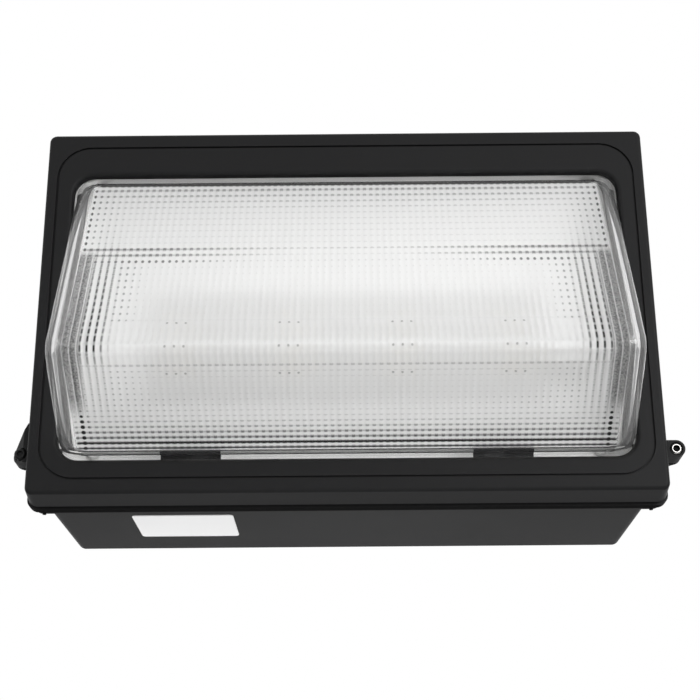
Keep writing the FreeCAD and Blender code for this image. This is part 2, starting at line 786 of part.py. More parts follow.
def led_tray():
    """Sheet tray with a lip bent back all round."""
    y0 = behind(tray_depth)
    outer = slab(tray_half_w, -tray_half_h, tray_half_h, tray_corner, y0, tray_lip)
    pan = slab(tray_half_w - tray_t, tray_t - tray_half_h, tray_half_h - tray_t, tray_corner - tray_t,
               y0 + tray_t, tray_lip)
    holes = [rod(x, z, fixing_r, y0 - over, y0 + tray_t + over)
             for x, z in post_places() + board_screw_places()]
    holes.append(rod(bushing_x, bushing_z, bushing_r, y0 - over, y0 + tray_t + over))
    return outer.cut([pan] + holes)


def reflector():
    """White formed sheet that slopes from the tray out to the housing's rim."""
    y_foot = behind(tray_depth) - reflector_t
    y_lip = y_foot - reflector_rise
    foot_w, foot_h = tray_half_w - reflector_lean_x, tray_half_h - reflector_lean_z

    def wall(grow, y_front, y_back):
        return tapered((tray_half_w + grow, -tray_half_h - grow, tray_half_h + grow,
                        reflector_corner, y_front),
                       (foot_w + grow, -foot_h - grow, foot_h + grow, reflector_corner, y_back))

    funnel = wall(0, y_lip, y_foot + reflector_t).cut(wall(-reflector_t, y_lip, y_foot + reflector_t))
    hole_w, hole_h = foot_w - reflector_foot, foot_h - reflector_foot
    foot = frame_ring((foot_w, -foot_h, foot_h, reflector_corner),
                      (hole_w, -hole_h, hole_h, foot_corner), y_foot, reflector_t)
    holes = [rod(x, z, fixing_r, y_lip, y_foot + 2 * reflector_t) for x, z in post_places()]
    return funnel.fuse(foot).cut(holes).removeSplitter()


def thermal_pad():
    pad = slab(board_half_w, board_z - board_h / 2, board_z + board_h / 2, board_corner,
               behind(tray_depth) - pad_t, pad_t)
    return pad.cut([rod(x, z, fixing_r, behind(0), 0) for x, z in board_screw_places()])


def led_board():
    board = slab(board_half_w, board_z - board_h / 2, board_z + board_h / 2, board_corner,
                 behind(board_depth), board_t)
    return board.cut([rod(x, z, fixing_r, behind(0), 0) for x, z in board_screw_places()])


def led_packages():
    leds = []
    y1 = behind(board_depth)
    half = led_size / 2
    for i in range(cluster_count):
        middle = (i - (cluster_count - 1) / 2) * cluster_pitch
        for column in range(led_columns):
            x = middle + (column - (led_columns - 1) / 2) * led_pitch_x
            for row in range(led_rows):
                z = board_z + (row - (led_rows - 1) / 2) * led_pitch_z
                leds.append(block(x - half, x + half, y1 - led_t, y1, z - half, z + half))
    return solids(leds)


def flat_screws(places, seat_y, length):
    return solids([machine_screw(x, z, seat_y, fixing_head_r, fixing_head_t, fixing_r, length)
                   for x, z in places])


def board_screws():
    return flat_screws(board_screw_places(), behind(board_depth), tray_depth + tray_t - board_depth)


def tray_screws():
    return flat_screws(post_places(), behind(tray_depth) - reflector_t, reflector_t + tray_t + fixing_bite)


def tray_bushing():
    y0, y1 = behind(tray_depth), behind(tray_depth + tray_t)
    lip = bushing_flange / 2
    body = rod(bushing_x, bushing_z, bushing_r, y0 - lip, y1 + lip)
    ends = [rod(bushing_x, bushing_z, bushing_r + bushing_flange, y0 - lip, y0),
            rod(bushing_x, bushing_z, bushing_r + bushing_flange, y1, y1 + lip)]
    bore = rod(bushing_x, bushing_z, bushing_bore_r, behind(0), 0)
    return body.fuse(ends).cut(bore).removeSplitter()


# ---- gear on the back wall ---------------------------------------------------------------------
def module_case(size, place, corner):
    """Case with a screw tab at each end, standing on the housing's bosses."""
    w, h, t = size
    x, z = place
    case = block(x - w / 2, x + w / 2, module_y - t, module_y, z - h / 2, z + h / 2)
    upright = [e for e in case.Edges if e.BoundBox.YLength > t / 2]
    case = case.makeFillet(corner, upright)
    tab = slab(w / 2 + tab_l, -h / 4, h / 4, corner, module_y - tab_t, tab_t)
    tab.translate(Vector(x, 0, z))
    holes = [rod(hx, hz, fixing_r, module_y - t, module_y + over)
             for hx, hz in module_screws_at(size, place)]
    return case.fuse(tab).cut(holes).removeSplitter()


def led_driver():
    return module_case(driver_size, driver_at, case_corner)


def surge_protector():
    return module_case(surge_size, surge_at, case_corner)


def terminal_block():
    """Three-pole block: wire holes through it from below to above, screw wells in front."""
    _, h, t = block_size
    body = module_case(block_size, block_at, block_corner)
    cuts = []
    for i in (-1, 0, 1):
        x = block_at[0] + i * pole_pitch
        foot = Vector(x, module_y - t / 2, block_at[1] - h / 2 - over)
        cuts.append(Part.makeCylinder(wire_r + wire_hole_play, h + 2 * over, foot))
        cuts.append(rod(x, block_at[1], pole_well_r, module_y - t - over, module_y - t / 2))
    return body.cut(cuts)


def module_screws():
    return flat_screws(module_places(), module_y - tab_t, tab_t + fixing_bite)


def ground_screw():
    x, z = ground_at
    return machine_screw(x, z, module_y, ground_head_r, fixing_head_t, fixing_r, fixing_bite)


def supply_wires():
    """Two leads from the driver's left end up into the terminal block."""
    wires = []
    x_end = driver_at[0] - driver_size[0] / 2
    y = module_y - block_size[2] / 2
    z_block = block_at[1] - block_size[1] / 2
    for i in (0, 1):
        x = block_at[0] + (1 - i) * pole_pitch
        z = driver_at[1] + driver_size[1] / 4 - i * lead_pitch
        points = [Vector(x_end, y, z), Vector(x, y, z), Vector(x, y, z_block)]
        wires.append(wire_run(points, wire_r, [wire_bend]))
    return solids(wires)


def output_wires():
    """Two leads from the driver's right end, through the tray's bushing, down onto the board."""
    wires = []
    x_end = driver_at[0] + driver_size[0] / 2
    y = module_y - driver_size[2] / 2
    y_front = behind(board_depth) - wire_r
    for i in (-1, 1):
        z = bushing_z + i * lead_spread
        bend = wire_r * 2
        points = [Vector(x_end, y, z), Vector(bushing_x, y, z), Vector(bushing_x, y_front, z),
                  Vector(board_half_w - lead_land, y_front, z)]
        wires.append(wire_run(points, wire_r, [wire_bend, bend]))
    return solids(wires)


def wire_grommet():
    body = rod(0, entry_z, entry_hole_r, floor_y - grommet_t, 0)
    flange = rod(0, entry_z, entry_hole_r + grommet_flange, floor_y - grommet_t, floor_y)
    return body.fuse(flange).cut(rod(0, entry_z, grommet_bore_r, -body_depth, over)).removeSplitter()


def closing_plug(corner, out):
    """Threaded conduit plug with a flange and a hexagon socket, pointing out along the axis."""
    body = Part.makeCylinder(conduit_r, conduit_wall + seal_ring_t, Vector(0, 0, -conduit_wall))
    flange = Part.makeCylinder(plug_flange_r, plug_flange_t, Vector(0, 0, seal_ring_t))
    middle = seal_ring_t + plug_flange_t / 2
    rim = [e for e in flange.Edges if e.BoundBox.ZMin > middle and e.Closed]
    flange = flange.makeChamfer(plug_flange_t / 3, rim)
    turns = [math.radians(60 * i) for i in range(7)]
    radius = plug_hex / math.sqrt(3)
    top = seal_ring_t + plug_flange_t
    corners = [Vector(radius * math.cos(t), radius * math.sin(t), top) for t in turns]
    socket = Part.Face(Part.makePolygon(corners)).extrude(Vector(0, 0, -plug_hex_t))
    plug = body.fuse(flange).cut(socket).removeSplitter()
    return placed(plug, corner, out)


def placed(shape, corner, out):
    shape.Placement = FreeCAD.Placement(corner, FreeCAD.Rotation(Vector(0, 0, 1), out))
    return shape


def conduit_faces():
    """Where each conduit entry leaves the body, and which way it points."""
    return [(Vector(-conduit_side, conduit_y, 0), Vector(-1, 0, 0)),
            (Vector(conduit_side, conduit_y, 0), Vector(1, 0, 0)),
            (Vector(0, conduit_y, conduit_top), Vector(0, 0, 1))]


def conduit_plugs():
    return solids([closing_plug(corner, out) for corner, out in conduit_faces()])


def plug_seals():
    rings = []
    for corner, out in conduit_faces():
        ring = Part.makeCylinder(plug_flange_r - seal_ring_inset, seal_ring_t)
        ring = ring.cut(Part.makeCylinder(conduit_r, seal_ring_t))
        rings.append(placed(ring, corner, out))
    return solids(rings)


# ---- write every piece -------------------------------------------------------------------------
nodes = {
    "rear_housing": rear_housing(),
    "door_frame": door_frame(),
    "lens_seal": lens_seal(),
    "glass_refractor": glass_refractor(),
    "lens_clips": lens_clips(),
    "lens_clip_screws": lens_clip_screws(),
    "door_gasket": door_gasket(),
    "hinge_pins": hinge_pins(),
    "closing_screw_left": closing_screw(left_ear_x),
    "closing_screw_right": closing_screw(right_ear_x),
    "retaining_ring_left": retaining_ring(left_ear_x),
    "retaining_ring_right": retaining_ring(right_ear_x),
    "led_tray": led_tray(),
    "reflector": reflector(),
    "thermal_pad": thermal_pad(),
    "led_board": led_board(),
    "led_packages": led_packages(),
    "board_screws": board_screws(),
    "tray_screws": tray_screws(),
    "tray_bushing": tray_bushing(),
    "led_driver": led_driver(),
    "surge_protector": surge_protector(),
    "terminal_block": terminal_block(),
    "module_screws": module_screws(),
    "ground_screw": ground_screw(),
    "supply_wires": supply_wires(),
    "output_wires": output_wires(),
    "wire_grommet": wire_grommet(),
    "conduit_plugs": conduit_plugs(),
    "plug_seals": plug_seals(),
}

os.makedirs("parts", exist_ok=True)
for name, shape in nodes.items():
    shape.exportStep("parts/" + name + ".step")
    print(name, "solids", len(shape.Solids), "volume", round(shape.Volume), "valid", shape.isValid())
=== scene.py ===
# %% [markdown]
# # A wall pack light, dressed around its CAD model
#
# A wall pack is the lamp over a loading door: a cast box on the wall, and a hinged door that
# holds a deep bowl of pressed glass. The CAD model has every casting and screw in its place, so
# this lesson leaves those shapes alone. It adds what the solids can't show: the prisms pressed
# into the glass, the small parts on the board, a bare plate, and a finish for every surface.

# %% Load the fixed frame
import json
import math
from functools import partial

import bpy
import numpy as np
from mathutils import Matrix, Vector


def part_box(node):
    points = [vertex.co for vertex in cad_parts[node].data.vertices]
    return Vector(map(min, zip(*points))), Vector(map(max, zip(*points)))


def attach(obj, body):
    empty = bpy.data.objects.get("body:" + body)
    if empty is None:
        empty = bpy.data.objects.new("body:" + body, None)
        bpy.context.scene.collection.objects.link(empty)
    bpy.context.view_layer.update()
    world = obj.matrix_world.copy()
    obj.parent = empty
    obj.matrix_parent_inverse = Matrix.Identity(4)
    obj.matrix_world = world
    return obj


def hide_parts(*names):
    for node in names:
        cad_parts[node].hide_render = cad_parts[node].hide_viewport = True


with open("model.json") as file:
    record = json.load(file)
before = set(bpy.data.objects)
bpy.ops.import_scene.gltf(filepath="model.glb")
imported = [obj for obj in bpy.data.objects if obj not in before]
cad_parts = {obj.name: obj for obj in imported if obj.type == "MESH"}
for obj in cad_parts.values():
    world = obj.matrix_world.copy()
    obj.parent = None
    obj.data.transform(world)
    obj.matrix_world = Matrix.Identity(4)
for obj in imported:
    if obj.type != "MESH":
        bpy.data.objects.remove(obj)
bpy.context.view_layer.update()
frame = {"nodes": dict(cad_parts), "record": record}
nodes = frame["nodes"]

# %% [markdown]
# ## The camera
#
# The picture was taken from below, as a person on the ground sees such a lamp. The camera stands
# 0.9 m in front of the wall and a third of a metre under the lamp's middle, and looks up. Its
# place was solved from the straight edges of the door in the picture, once a size had been chosen
# for the door. A long lens keeps the sides nearly upright.

# %% Camera
TILT_UP = 0.37135  # radians above the horizon
TURN = 0.00334  # to the side
LEAN = -0.0070  # about the line of sight
EYE = (0.0048, -0.9287, -0.3390)
FOCAL_PIXELS, PICTURE_PIXELS, SENSOR_MM = 1500.0, 700.0, 36.0


def turn(axis, angle):
    """Rotation about X, Y or Z, given as 0, 1 or 2: the next two axes swap by sine and cosine."""
    a, b = (axis + 1) % 3, (axis + 2) % 3
    matrix = np.eye(3)
    matrix[a, a] = matrix[b, b] = math.cos(angle)
    matrix[a, b], matrix[b, a] = -math.sin(angle), math.sin(angle)
    return matrix


def add_camera():
    """Rows of the matrix below are the picture's right, down and forward, seen in the frame."""
    level = np.array([[1, 0, 0], [0, 0, -1], [0, 1, 0]])
    right, down, forward = turn(2, LEAN) @ turn(0, -TILT_UP) @ turn(1, TURN) @ level
    data = bpy.data.cameras.new("camera")
    data.sensor_width = SENSOR_MM
    data.lens = FOCAL_PIXELS / PICTURE_PIXELS * SENSOR_MM
    camera = bpy.data.objects.new("camera", data)
    bpy.context.scene.collection.objects.link(camera)
    turned = Matrix(np.column_stack([right, -down, -forward]).tolist()).to_4x4()
    camera.matrix_world = Matrix.Translation(EYE) @ turned
    bpy.context.scene.camera = camera
    return camera


camera = add_camera()
print("lens, mm:", round(camera.data.lens, 2), " up, degrees:", round(math.degrees(TILT_UP), 1))

# %% [markdown]
# ## Helpers for surfaces
#
# Every new piece is a grid of points: the shape is a function of two parameters, u across and v
# along, worked out for the whole grid at once. Neighbouring faces share their vertices at every
# seam and pole, so a closed piece has no gaps.

# %% Grids to meshes
MM = 0.001  # points are worked out in mm, and Blender takes metres


def grid_faces(rows, columns, closed=False):
    """Quads over a grid of vertices, each one (i, j), (i, j+1), (i+1, j+1), (i+1, j). On a closed
    grid the last column is joined to the first."""
    i, j = np.meshgrid(np.arange(rows - 1), np.arange(columns - (not closed)), indexing="ij")
    i, i1, j1 = i * columns, (i + 1) * columns, (j + 1) % columns
    return np.stack([i + j, i + j1, i1 + j1, i1 + j], 2).reshape(-1, 4)


def face_outward(mesh):
    """Flips every face where the volume that the faces enclose comes out negative."""
    mesh.calc_loop_triangles()
    points = np.empty(len(mesh.vertices) * 3, np.float32)
    mesh.vertices.foreach_get("co", points)
    corners = np.empty(len(mesh.loop_triangles) * 3, np.int32)
    mesh.loop_triangles.foreach_get("vertices", corners)
    a, b, c = points.reshape(-1, 3)[corners.reshape(-1, 3)].transpose(1, 0, 2).astype(float)
    volume = float(np.einsum("ij,ij->", a, np.cross(b, c)) / 6)
    if volume < 0:
        mesh.flip_normals()
    return abs(volume)


def mesh_object(name, points, faces, body, rounded=True):
    """A mesh object that rides on a CAD body, from points (n, 3) in mm and faces (m, 3 or 4)."""
    mesh = bpy.data.meshes.new(name)
    points = np.asarray(points * MM, np.float32)
    faces = np.asarray(faces, np.int32)
    corners = faces.shape[1]
    mesh.vertices.add(len(points))
    mesh.vertices.foreach_set("co", points.ravel())
    mesh.loops.add(faces.size)
    mesh.loops.foreach_set("vertex_index", faces.ravel())
    mesh.polygons.add(len(faces))
    mesh.polygons.foreach_set("loop_start", np.arange(0, faces.size, corners, dtype=np.int32))
    mesh.polygons.foreach_set("use_smooth", np.full(len(faces), rounded))
    mesh.update(calc_edges=True)
    mesh.validate()
    face_outward(mesh)
    made = bpy.data.objects.new(name, mesh)
    bpy.context.scene.collection.objects.link(made)
    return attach(made, body)

# %% [markdown]
# ## The glass bowl
#
# The bowl is pressed from molten glass between two moulds. Its outside is smooth, with well
# rounded sides. Its inside has rows of prisms, which bend the light downwards, crossed by upright
# flutes, which spread it sideways. From the side it is a wedge: a long face above, a short one
# below, and a rounded knee between. A bump map could fake the prisms, but glass shows their true
# thickness, so they are real geometry here.
#
# The wedge's side view is a path, and each point of the path carries a U-shaped section that
# starts at the door, goes forward along one side wall, across the front, and back again. The two
# parameters are the distance along the path and the distance across the U.

# %% Sizes of the bowl, in mm
BACK_Y, MOUTH_Y = -125.5, -120.5  # front and back plane of the flange
HALF_W, TOP_Z, LOW_Z = 160.4, 83.5, -91.5
CORNER_R = 10.5  # the bowl's corners, seen from the front
KNEE = (-197.8, -51.7)  # sharp meeting point of the two faces, as (y, z)
BROW_Y, SILL_Y = -128.5, -135.5  # where the faces start, above and below
KNEE_R, SIDE_R = 8.0, 9.0
GLASS_T = 4.5
LEAN_MM, REACH = 0.8, 72.3  # the sides lean in by this much over the bowl's reach
FLANGE = (167.5, -98.5, 90.5, 18.0)  # half width, low, high, corner radius
FIELD_HALF_W = 150.1  # the prisms end this far from the middle
FLUTE, FLUTE_H = 3.8, 0.45
PRISM_H, CREST = 0.8, 0.4  # a tooth's height, and where its crest lies in its pitch
UPPER = (0.3, 5.66, 22)  # first valley, pitch and number of prisms above the knee
LOWER = (7.4, 3.78, 15)  # the same below it
FIELD_FADE = 2.0  # the relief fades out over this width at the field's edge
CORNERS_FROM = 95.0  # the round corners draw the surface in from here outwards
CLEAR_TOP, CLEAR_LOW = 8.0, 7.0  # clear glass along the upper and lower edge
FLANGE_BEVEL = 0.8
LEDGE_SHARES = (0, 0.06, 0.16, 0.3, 0.5, 0.75, 0.9)
lo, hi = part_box("glass_refractor")
print("glass in the CAD, mm:", [round(v * 1000, 1) for v in (*lo, *hi)])


# %% The path of the side view
def unit(v):
    """The vector divided by its length."""
    return np.asarray(v, float) / np.linalg.norm(v)


def meet(p, d, q, e):
    """Where the line from p along d meets the line from q along e: solve p + s d = q + t e."""
    s, _ = np.linalg.solve(np.column_stack([d, -np.asarray(e)]), np.subtract(q, p))
    return np.add(p, s * np.asarray(d))


def side_corners(inset):
    """Brow, knee and sill as (y, z), moved inwards by the inset: each face moves along its own
    inward normal, and the neighbours are extended to meet it."""
    brow, knee, sill = np.array([BROW_Y, TOP_Z]), np.array(KNEE), np.array([SILL_Y, LOW_Z])
    up, down = unit(knee - brow), unit(sill - knee)
    face_up = brow + inset * np.array([-up[1], up[0]])
    face_down = knee + inset * np.array([-down[1], down[0]])
    return (meet(face_up, up, (0, TOP_Z - inset), (1, 0)), meet(face_up, up, face_down, down),
            meet(face_down, down, (0, LOW_Z + inset), (1, 0)))


def knee_cut(inset=0.0):
    """How much of each face the knee's rounding takes: the radius times the tangent of half the
    angle that the path turns by."""
    brow, knee, sill = side_corners(inset)
    turn = math.acos(float(unit(knee - brow) @ unit(sill - knee)))
    return (KNEE_R - inset) * math.tan(turn / 2), turn


def band(first, pitch, count):
    """Distance and height of each valley and crest of one band, and its place counted in prisms."""
    place = np.arange(count + 1.0)
    place = np.sort(np.concatenate([place, place[:-1] + CREST]))
    height = np.tile([0.0, 1.0], count + 1)[:len(place)]
    return np.column_stack([first + place * pitch, height, place])


def stations():
    """Where the grid's rows lie. Each row is (part of the path, share of that part, height of the
    prism there, place counted in prisms, distance along the inside). The parts are upper ledge,
    upper face, knee, lower face and lower ledge."""
    brow, knee, sill = side_corners(GLASS_T)
    cut, turn = knee_cut(GLASS_T)
    upper, lower = np.linalg.norm(knee - brow) - cut, np.linalg.norm(sill - knee) - cut
    arc, ledge = (KNEE_R - GLASS_T) * turn, MOUTH_Y - brow[0]
    knee_at, below = (upper - UPPER[0]) / UPPER[1], upper + arc
    rows = [(0, f, 0.0, (f - 1) * ledge / UPPER[1], (f - 1) * ledge) for f in LEDGE_SHARES]
    rows += [(1, a / upper, h, n, a) for a, h, n in ((0.0, 0.0, 0.0), *band(*UPPER))]
    rows += [(1, f, 0.0, knee_at - (1 - f) * upper / UPPER[1], f * upper)
             for f in (0.90, 0.93, 0.96, 0.98)]
    rows += [(2, f, 0.0, knee_at + f, upper + f * arc) for f in np.linspace(0.0, 1.0, 9)[:-1]]
    rows += [(3, a / lower, 0.0, knee_at + 1 + a / LOWER[0], below + a)
             for a in (0.0, 1.8, 3.7, 5.5)]
    rows += [(3, a / lower, h, knee_at + 2 + n, below + a) for a, h, n in band(*LOWER)]
    last = rows[-1][3] + 0.5
    rows += [(3, 0.995, 0.0, last, below + lower)]
    rows += [(4, f, 0.0, last, below + lower + f * ledge)
             for f in (0, 0.2, 0.4, 0.6, 0.75, 0.86, 0.94, 1.0)]
    return np.array(rows)


rows = stations()
print("rows of the grid:", len(rows), " places along it, in prisms:", round(rows[-1, 3], 2))


# %% A point and a direction for every row
def side_path(inset, back_y):
    """Points (y, z) of the path, with the inward direction of the glass at each. Straight parts
    go from corner to corner; on the knee, the direction turns at an even rate and the point is
    the arc's centre plus the radius against that direction."""
    brow, knee, sill = side_corners(inset)
    up, down = unit(knee - brow), unit(sill - knee)
    normal_up, normal_down = np.array([-up[1], up[0]]), np.array([-down[1], down[0]])
    cut, turn = knee_cut(inset)
    enter, leave = knee - cut * up, knee + cut * down
    centre = enter + (KNEE_R - inset) * normal_up
    part, share = rows[:, 0][:, None], rows[:, 1][:, None]
    angle = share * turn
    normal_arc = (np.sin(turn - angle) * normal_up + np.sin(angle) * normal_down) / math.sin(turn)
    top_back, low_back = np.array([back_y, brow[1]]), np.array([back_y, sill[1]])
    choices = [
        (top_back + share * (brow - top_back), np.array([0.0, -1.0])),
        (brow + share * (enter - brow), normal_up),
        (centre - (KNEE_R - inset) * normal_arc, normal_arc),
        (leave + share * (sill - leave), normal_down),
        (sill + share * (low_back - sill), np.array([0.0, 1.0])),
    ]
    points = sum(np.where(part == k, choices[k][0], 0) for k in range(5))
    inward = sum(np.where(part == k, choices[k][1], 0) for k in range(5))
    return points, inward


path, _ = side_path(0, BACK_Y)
print("bowl stands out from the wall by, mm:", round(-path[:, 0].min(), 1))

# %% [markdown]
# The U-shaped section has a straight wall, a quarter turn and a straight front. Its columns are
# evenly spread along that line, so where the wall is short, near the top, the same columns simply
# move round onto the front, and no face shrinks to nothing.

# %% Sections across the bowl
SIDE_COLUMNS = 26


def smooth(x, low, high):
    """0 below low, 1 above high, and 3t^2 - 2t^3 between."""
    t = np.clip((x - low) / (high - low), 0, 1)
    return t * t * (3 - 2 * t)


def bowl_surface(inset, back_y, side_r):
    """Grid (rows, columns, 3) in mm: the path's point, moved back along the line to the door by
    what the U-shaped section lacks there, and x from the distance along the U. Near the top and
    the bottom the sides draw in along a circle, so the bowl has round corners from the front."""
    points, inward = side_path(inset, back_y)
    half_w, top, low = HALF_W - inset, TOP_Z - inset, LOW_Z + inset
    corner = CORNER_R - inset * 0.7
    steps = np.linalg.norm(np.diff(points, axis=0), axis=1)
    far = np.concatenate([[0], np.cumsum(steps)]) / steps.sum()
    base = np.column_stack([np.full(len(far), back_y), top + (low - top) * far])
    reach = points - base
    depth = np.linalg.norm(reach, axis=1)[:, None]
    toward = reach / np.maximum(depth, 1e-9)
    radius = np.minimum(side_r, depth * 0.85)
    wall, arc = depth - radius, radius * math.pi / 2
    front = half_w - radius - FIELD_HALF_W
    run = np.linspace(0, 1, SIDE_COLUMNS)[None, :] * (wall + arc + front)
    turned = np.clip((run - wall) / np.maximum(radius, 1e-9), 0, math.pi / 2)
    along = np.minimum(run, wall) + radius * np.sin(turned)
    x_side = half_w - radius * (1 - np.cos(turned)) - np.maximum(run - wall - arc, 0)
    x_mid = flute_columns()
    x = np.concatenate([-x_side, np.tile(x_mid, (len(far), 1)), x_side[:, ::-1]], 1)
    ahead = np.concatenate([along, np.tile(depth, (1, len(x_mid))), along[:, ::-1]], 1)
    y = base[:, :1] + toward[:, :1] * ahead
    z = base[:, 1:] + toward[:, 1:] * ahead
    near_end = np.maximum(np.maximum(z - (top - corner), (low + corner) - z), 0)
    drawn_in = corner - np.sqrt(np.maximum(corner**2 - np.minimum(near_end, corner)**2, 0))
    drawn_in = drawn_in + LEAN_MM * (back_y - y) / REACH
    x = x - np.sign(x) * drawn_in * smooth(np.abs(x), CORNERS_FROM, half_w)
    return np.stack([x, y, z], 2), inward


def flute_columns():
    """Columns across the prism field, four to a flute, without the field's two edges."""
    count = int(round(2 * FIELD_HALF_W / FLUTE)) * 4
    return np.linspace(-FIELD_HALF_W, FIELD_HALF_W, count + 1)[1:-1]


outer, _ = bowl_surface(0, BACK_Y, SIDE_R)
print("grid of the outside:", outer.shape[:2])

# %% [markdown]
# The inside is the same surface moved in by the glass's thickness, plus the relief: a saw tooth
# along the path and an arch across it, both fading out at the edges of the prism field. The knee
# keeps its flutes but has no prisms.

# %% The inside with its relief
def relief(x, in_field):
    """Height of the glass above the plain inside. Prisms: their row's height. Flutes: the arch
    |cos|, highest in the middle of a flute. Both times a window that fades at the field's edge."""
    window = 1 - smooth(np.abs(x), FIELD_HALF_W - FIELD_FADE, FIELD_HALF_W)
    flutes = np.abs(np.cos(math.pi * (x / FLUTE + 0.5)))
    in_band = ((rows[:, 0] >= 1) & (rows[:, 0] <= 3) & in_field)[:, None]
    return window * (PRISM_H * rows[:, 2][:, None] + FLUTE_H * flutes * in_band)


def inner_surface():
    """The plain inside, with each point moved along the inward direction by the relief's height."""
    plain, inward = bowl_surface(GLASS_T, MOUTH_Y, SIDE_R - GLASS_T)
    middle_z = plain[:, plain.shape[1] // 2, 2]
    height = relief(plain[:, :, 0], (middle_z < TOP_Z - CLEAR_TOP) & (middle_z > LOW_Z + CLEAR_LOW))
    plain[:, :, 1] += inward[:, :1] * height
    plain[:, :, 2] += inward[:, 1:] * height
    return plain


inner = inner_surface()
print("relief reaches, mm:", round(PRISM_H + FLUTE_H, 2), " flutes:", int(2 * FIELD_HALF_W / FLUTE))


# %% Join both sides round the flange
def border(rows_n, columns_n):
    """Indices of a grid's outline, once round."""
    index = np.arange(rows_n * columns_n).reshape(rows_n, columns_n)
    return np.concatenate([index[0, :-1], index[:-1, -1], index[-1, :0:-1], index[:0:-1, 0]])


def flange_loops(base):
    """Loops round the flange's edge. Each point of the bowl's foot is sent to the flange's outline:
    the nearest corner centre plus the corner radius along the direction away from it."""
    half_w, low, high, radius = FLANGE
    centre = np.stack([np.clip(base[:, 0], radius - half_w, half_w - radius),
                       np.clip(base[:, 2], low + radius, high - radius)], 1)
    away = base[:, [0, 2]] - centre
    away /= np.linalg.norm(away, axis=1)[:, None]
    loops = []
    for out, y in ((radius - FLANGE_BEVEL, BACK_Y), (radius, BACK_Y + FLANGE_BEVEL),
                   (radius, MOUTH_Y - FLANGE_BEVEL), (radius - FLANGE_BEVEL, MOUTH_Y)):
        spot = centre + out * away
        loops.append(np.column_stack([spot[:, 0], np.full(len(spot), y), spot[:, 1]]))
    return loops


def build_glass():
    """Outside, inside turned over, and the strips round the flange that join their outlines."""
    rows_n, columns_n = outer.shape[:2]
    size = rows_n * columns_n
    rim = border(rows_n, columns_n)
    flat_outer, flat_inner = outer.reshape(-1, 3), inner.reshape(-1, 3)
    loops = flange_loops(flat_outer[rim])
    points = np.concatenate([flat_outer, flat_inner, *loops])
    ring = [rim] + [2 * size + k * len(rim) + np.arange(len(rim)) for k in range(len(loops))]
    ring.append(rim + size)
    strips = [np.stack([b, np.roll(b, -1), np.roll(a, -1), a], 1) for a, b in zip(ring, ring[1:])]
    outside = grid_faces(rows_n, columns_n)
    faces = np.concatenate([outside, outside[:, ::-1] + size, *strips])
    return mesh_object("prismatic_bowl", points, faces, "door"), size


bowl, bowl_size = build_glass()
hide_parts("glass_refractor")
print("triangles:", 2 * len(bowl.data.polygons),
      " glass, cm3:", round(face_outward(bowl.data) * 1e6, 1))

# %% [markdown]
# Each corner of the grid also keeps where it lies on the prism pattern: how many flutes and how
# many prisms it is from the start, and how strongly painted shade darkens the valleys there. A
# shader can read these as attributes. On the real glass the valleys look dark, most of all low on
# the bowl and along the field's two sides, through the way the prisms bend light; here that
# darkness is painted shade. The strengths in the tables were set a few places at a time.

# %% Attributes for the prism pattern
# Strength of the painted shade marks at some places down the bowl, in the middle of it and towards its
# sides.
PAINTED_MARK_PLACES = (0, 1, 2, 3, 5, 10, 11, 12, 13, 14, 16, 22, 22.6, 25.6, 26, 27, 28, 30,
               34, 36, 37, 38, 39, 40, 41, 42)
PAINTED_MARKS = {
    "dots_middle": (
        0.1, 0.15, 0.3, 0.2, 0.12, 0.08, 0.08, 0.08, 0.16, 0.1, 0.05, 0.04, 0, 0, 0.05, 0.15, 0.1, 0.06,
        0.16, 0.22, 0.26, 0.3, 0.3, 0.2, 0.2, 0.2),
    "dots_side": (
        0.3, 0.7, 0.75, 0.7, 0.65, 0.55, 0.3, 0.5, 0.8, 0.6, 0.55, 0.5, 0, 0, 0.7, 0.3, 0.4, 0.4,
        0.45, 0.4, 0.4, 0.4, 0.4, 0.3, 0.3, 0.3),
    "lines_middle": (
        1.2, 0.6, 0.5, 0.35, 0.16, 0.1, 0.25, 0.1, 0.05, 0, 0, 0, 0, 0, 0, 0.35, 0.16, 0.05,
        0.08, 0.2, 0.35, 0.58, 0.78, 0.88, 1.08, 1.0),
    "lines_side": (
        1.2, 0.6, 0.4, 0.2, 0.1, 0.12, 0.84, 0.78, 0.1, 0, 0, 0, 0, 0, 0, 0.35, 0.12, 0.0,
        0.1, 0.3, 0.45, 0.62, 0.8, 0.9, 1.05, 1.0),
    "stripes_side": (
        0, 0, 0, 0, 0, 0.1, 0.3, 0.4, 0.6, 0.7, 0.85, 1.0, 1.0, 1.0, 0.7, 0.4, 0.35, 0.3,
        0.2, 0.1, 0, 0, 0, 0, 0, 0),
}
# Until which place, and between which distances from the middle, the middle's value goes over.
SIDE_FADES = ((10.5, 118, 150), (12.5, 20, 115), (13.5, 50, 105), (22.5, 108, 124),
              (26.5, 122, 140), (33, 95, 125), (50, 40, 140))
BOWL_FOOT = -2.0  # marks start this far along the path
CLEAR_BROW = -2.5  # the upper ledge is plain glass above this


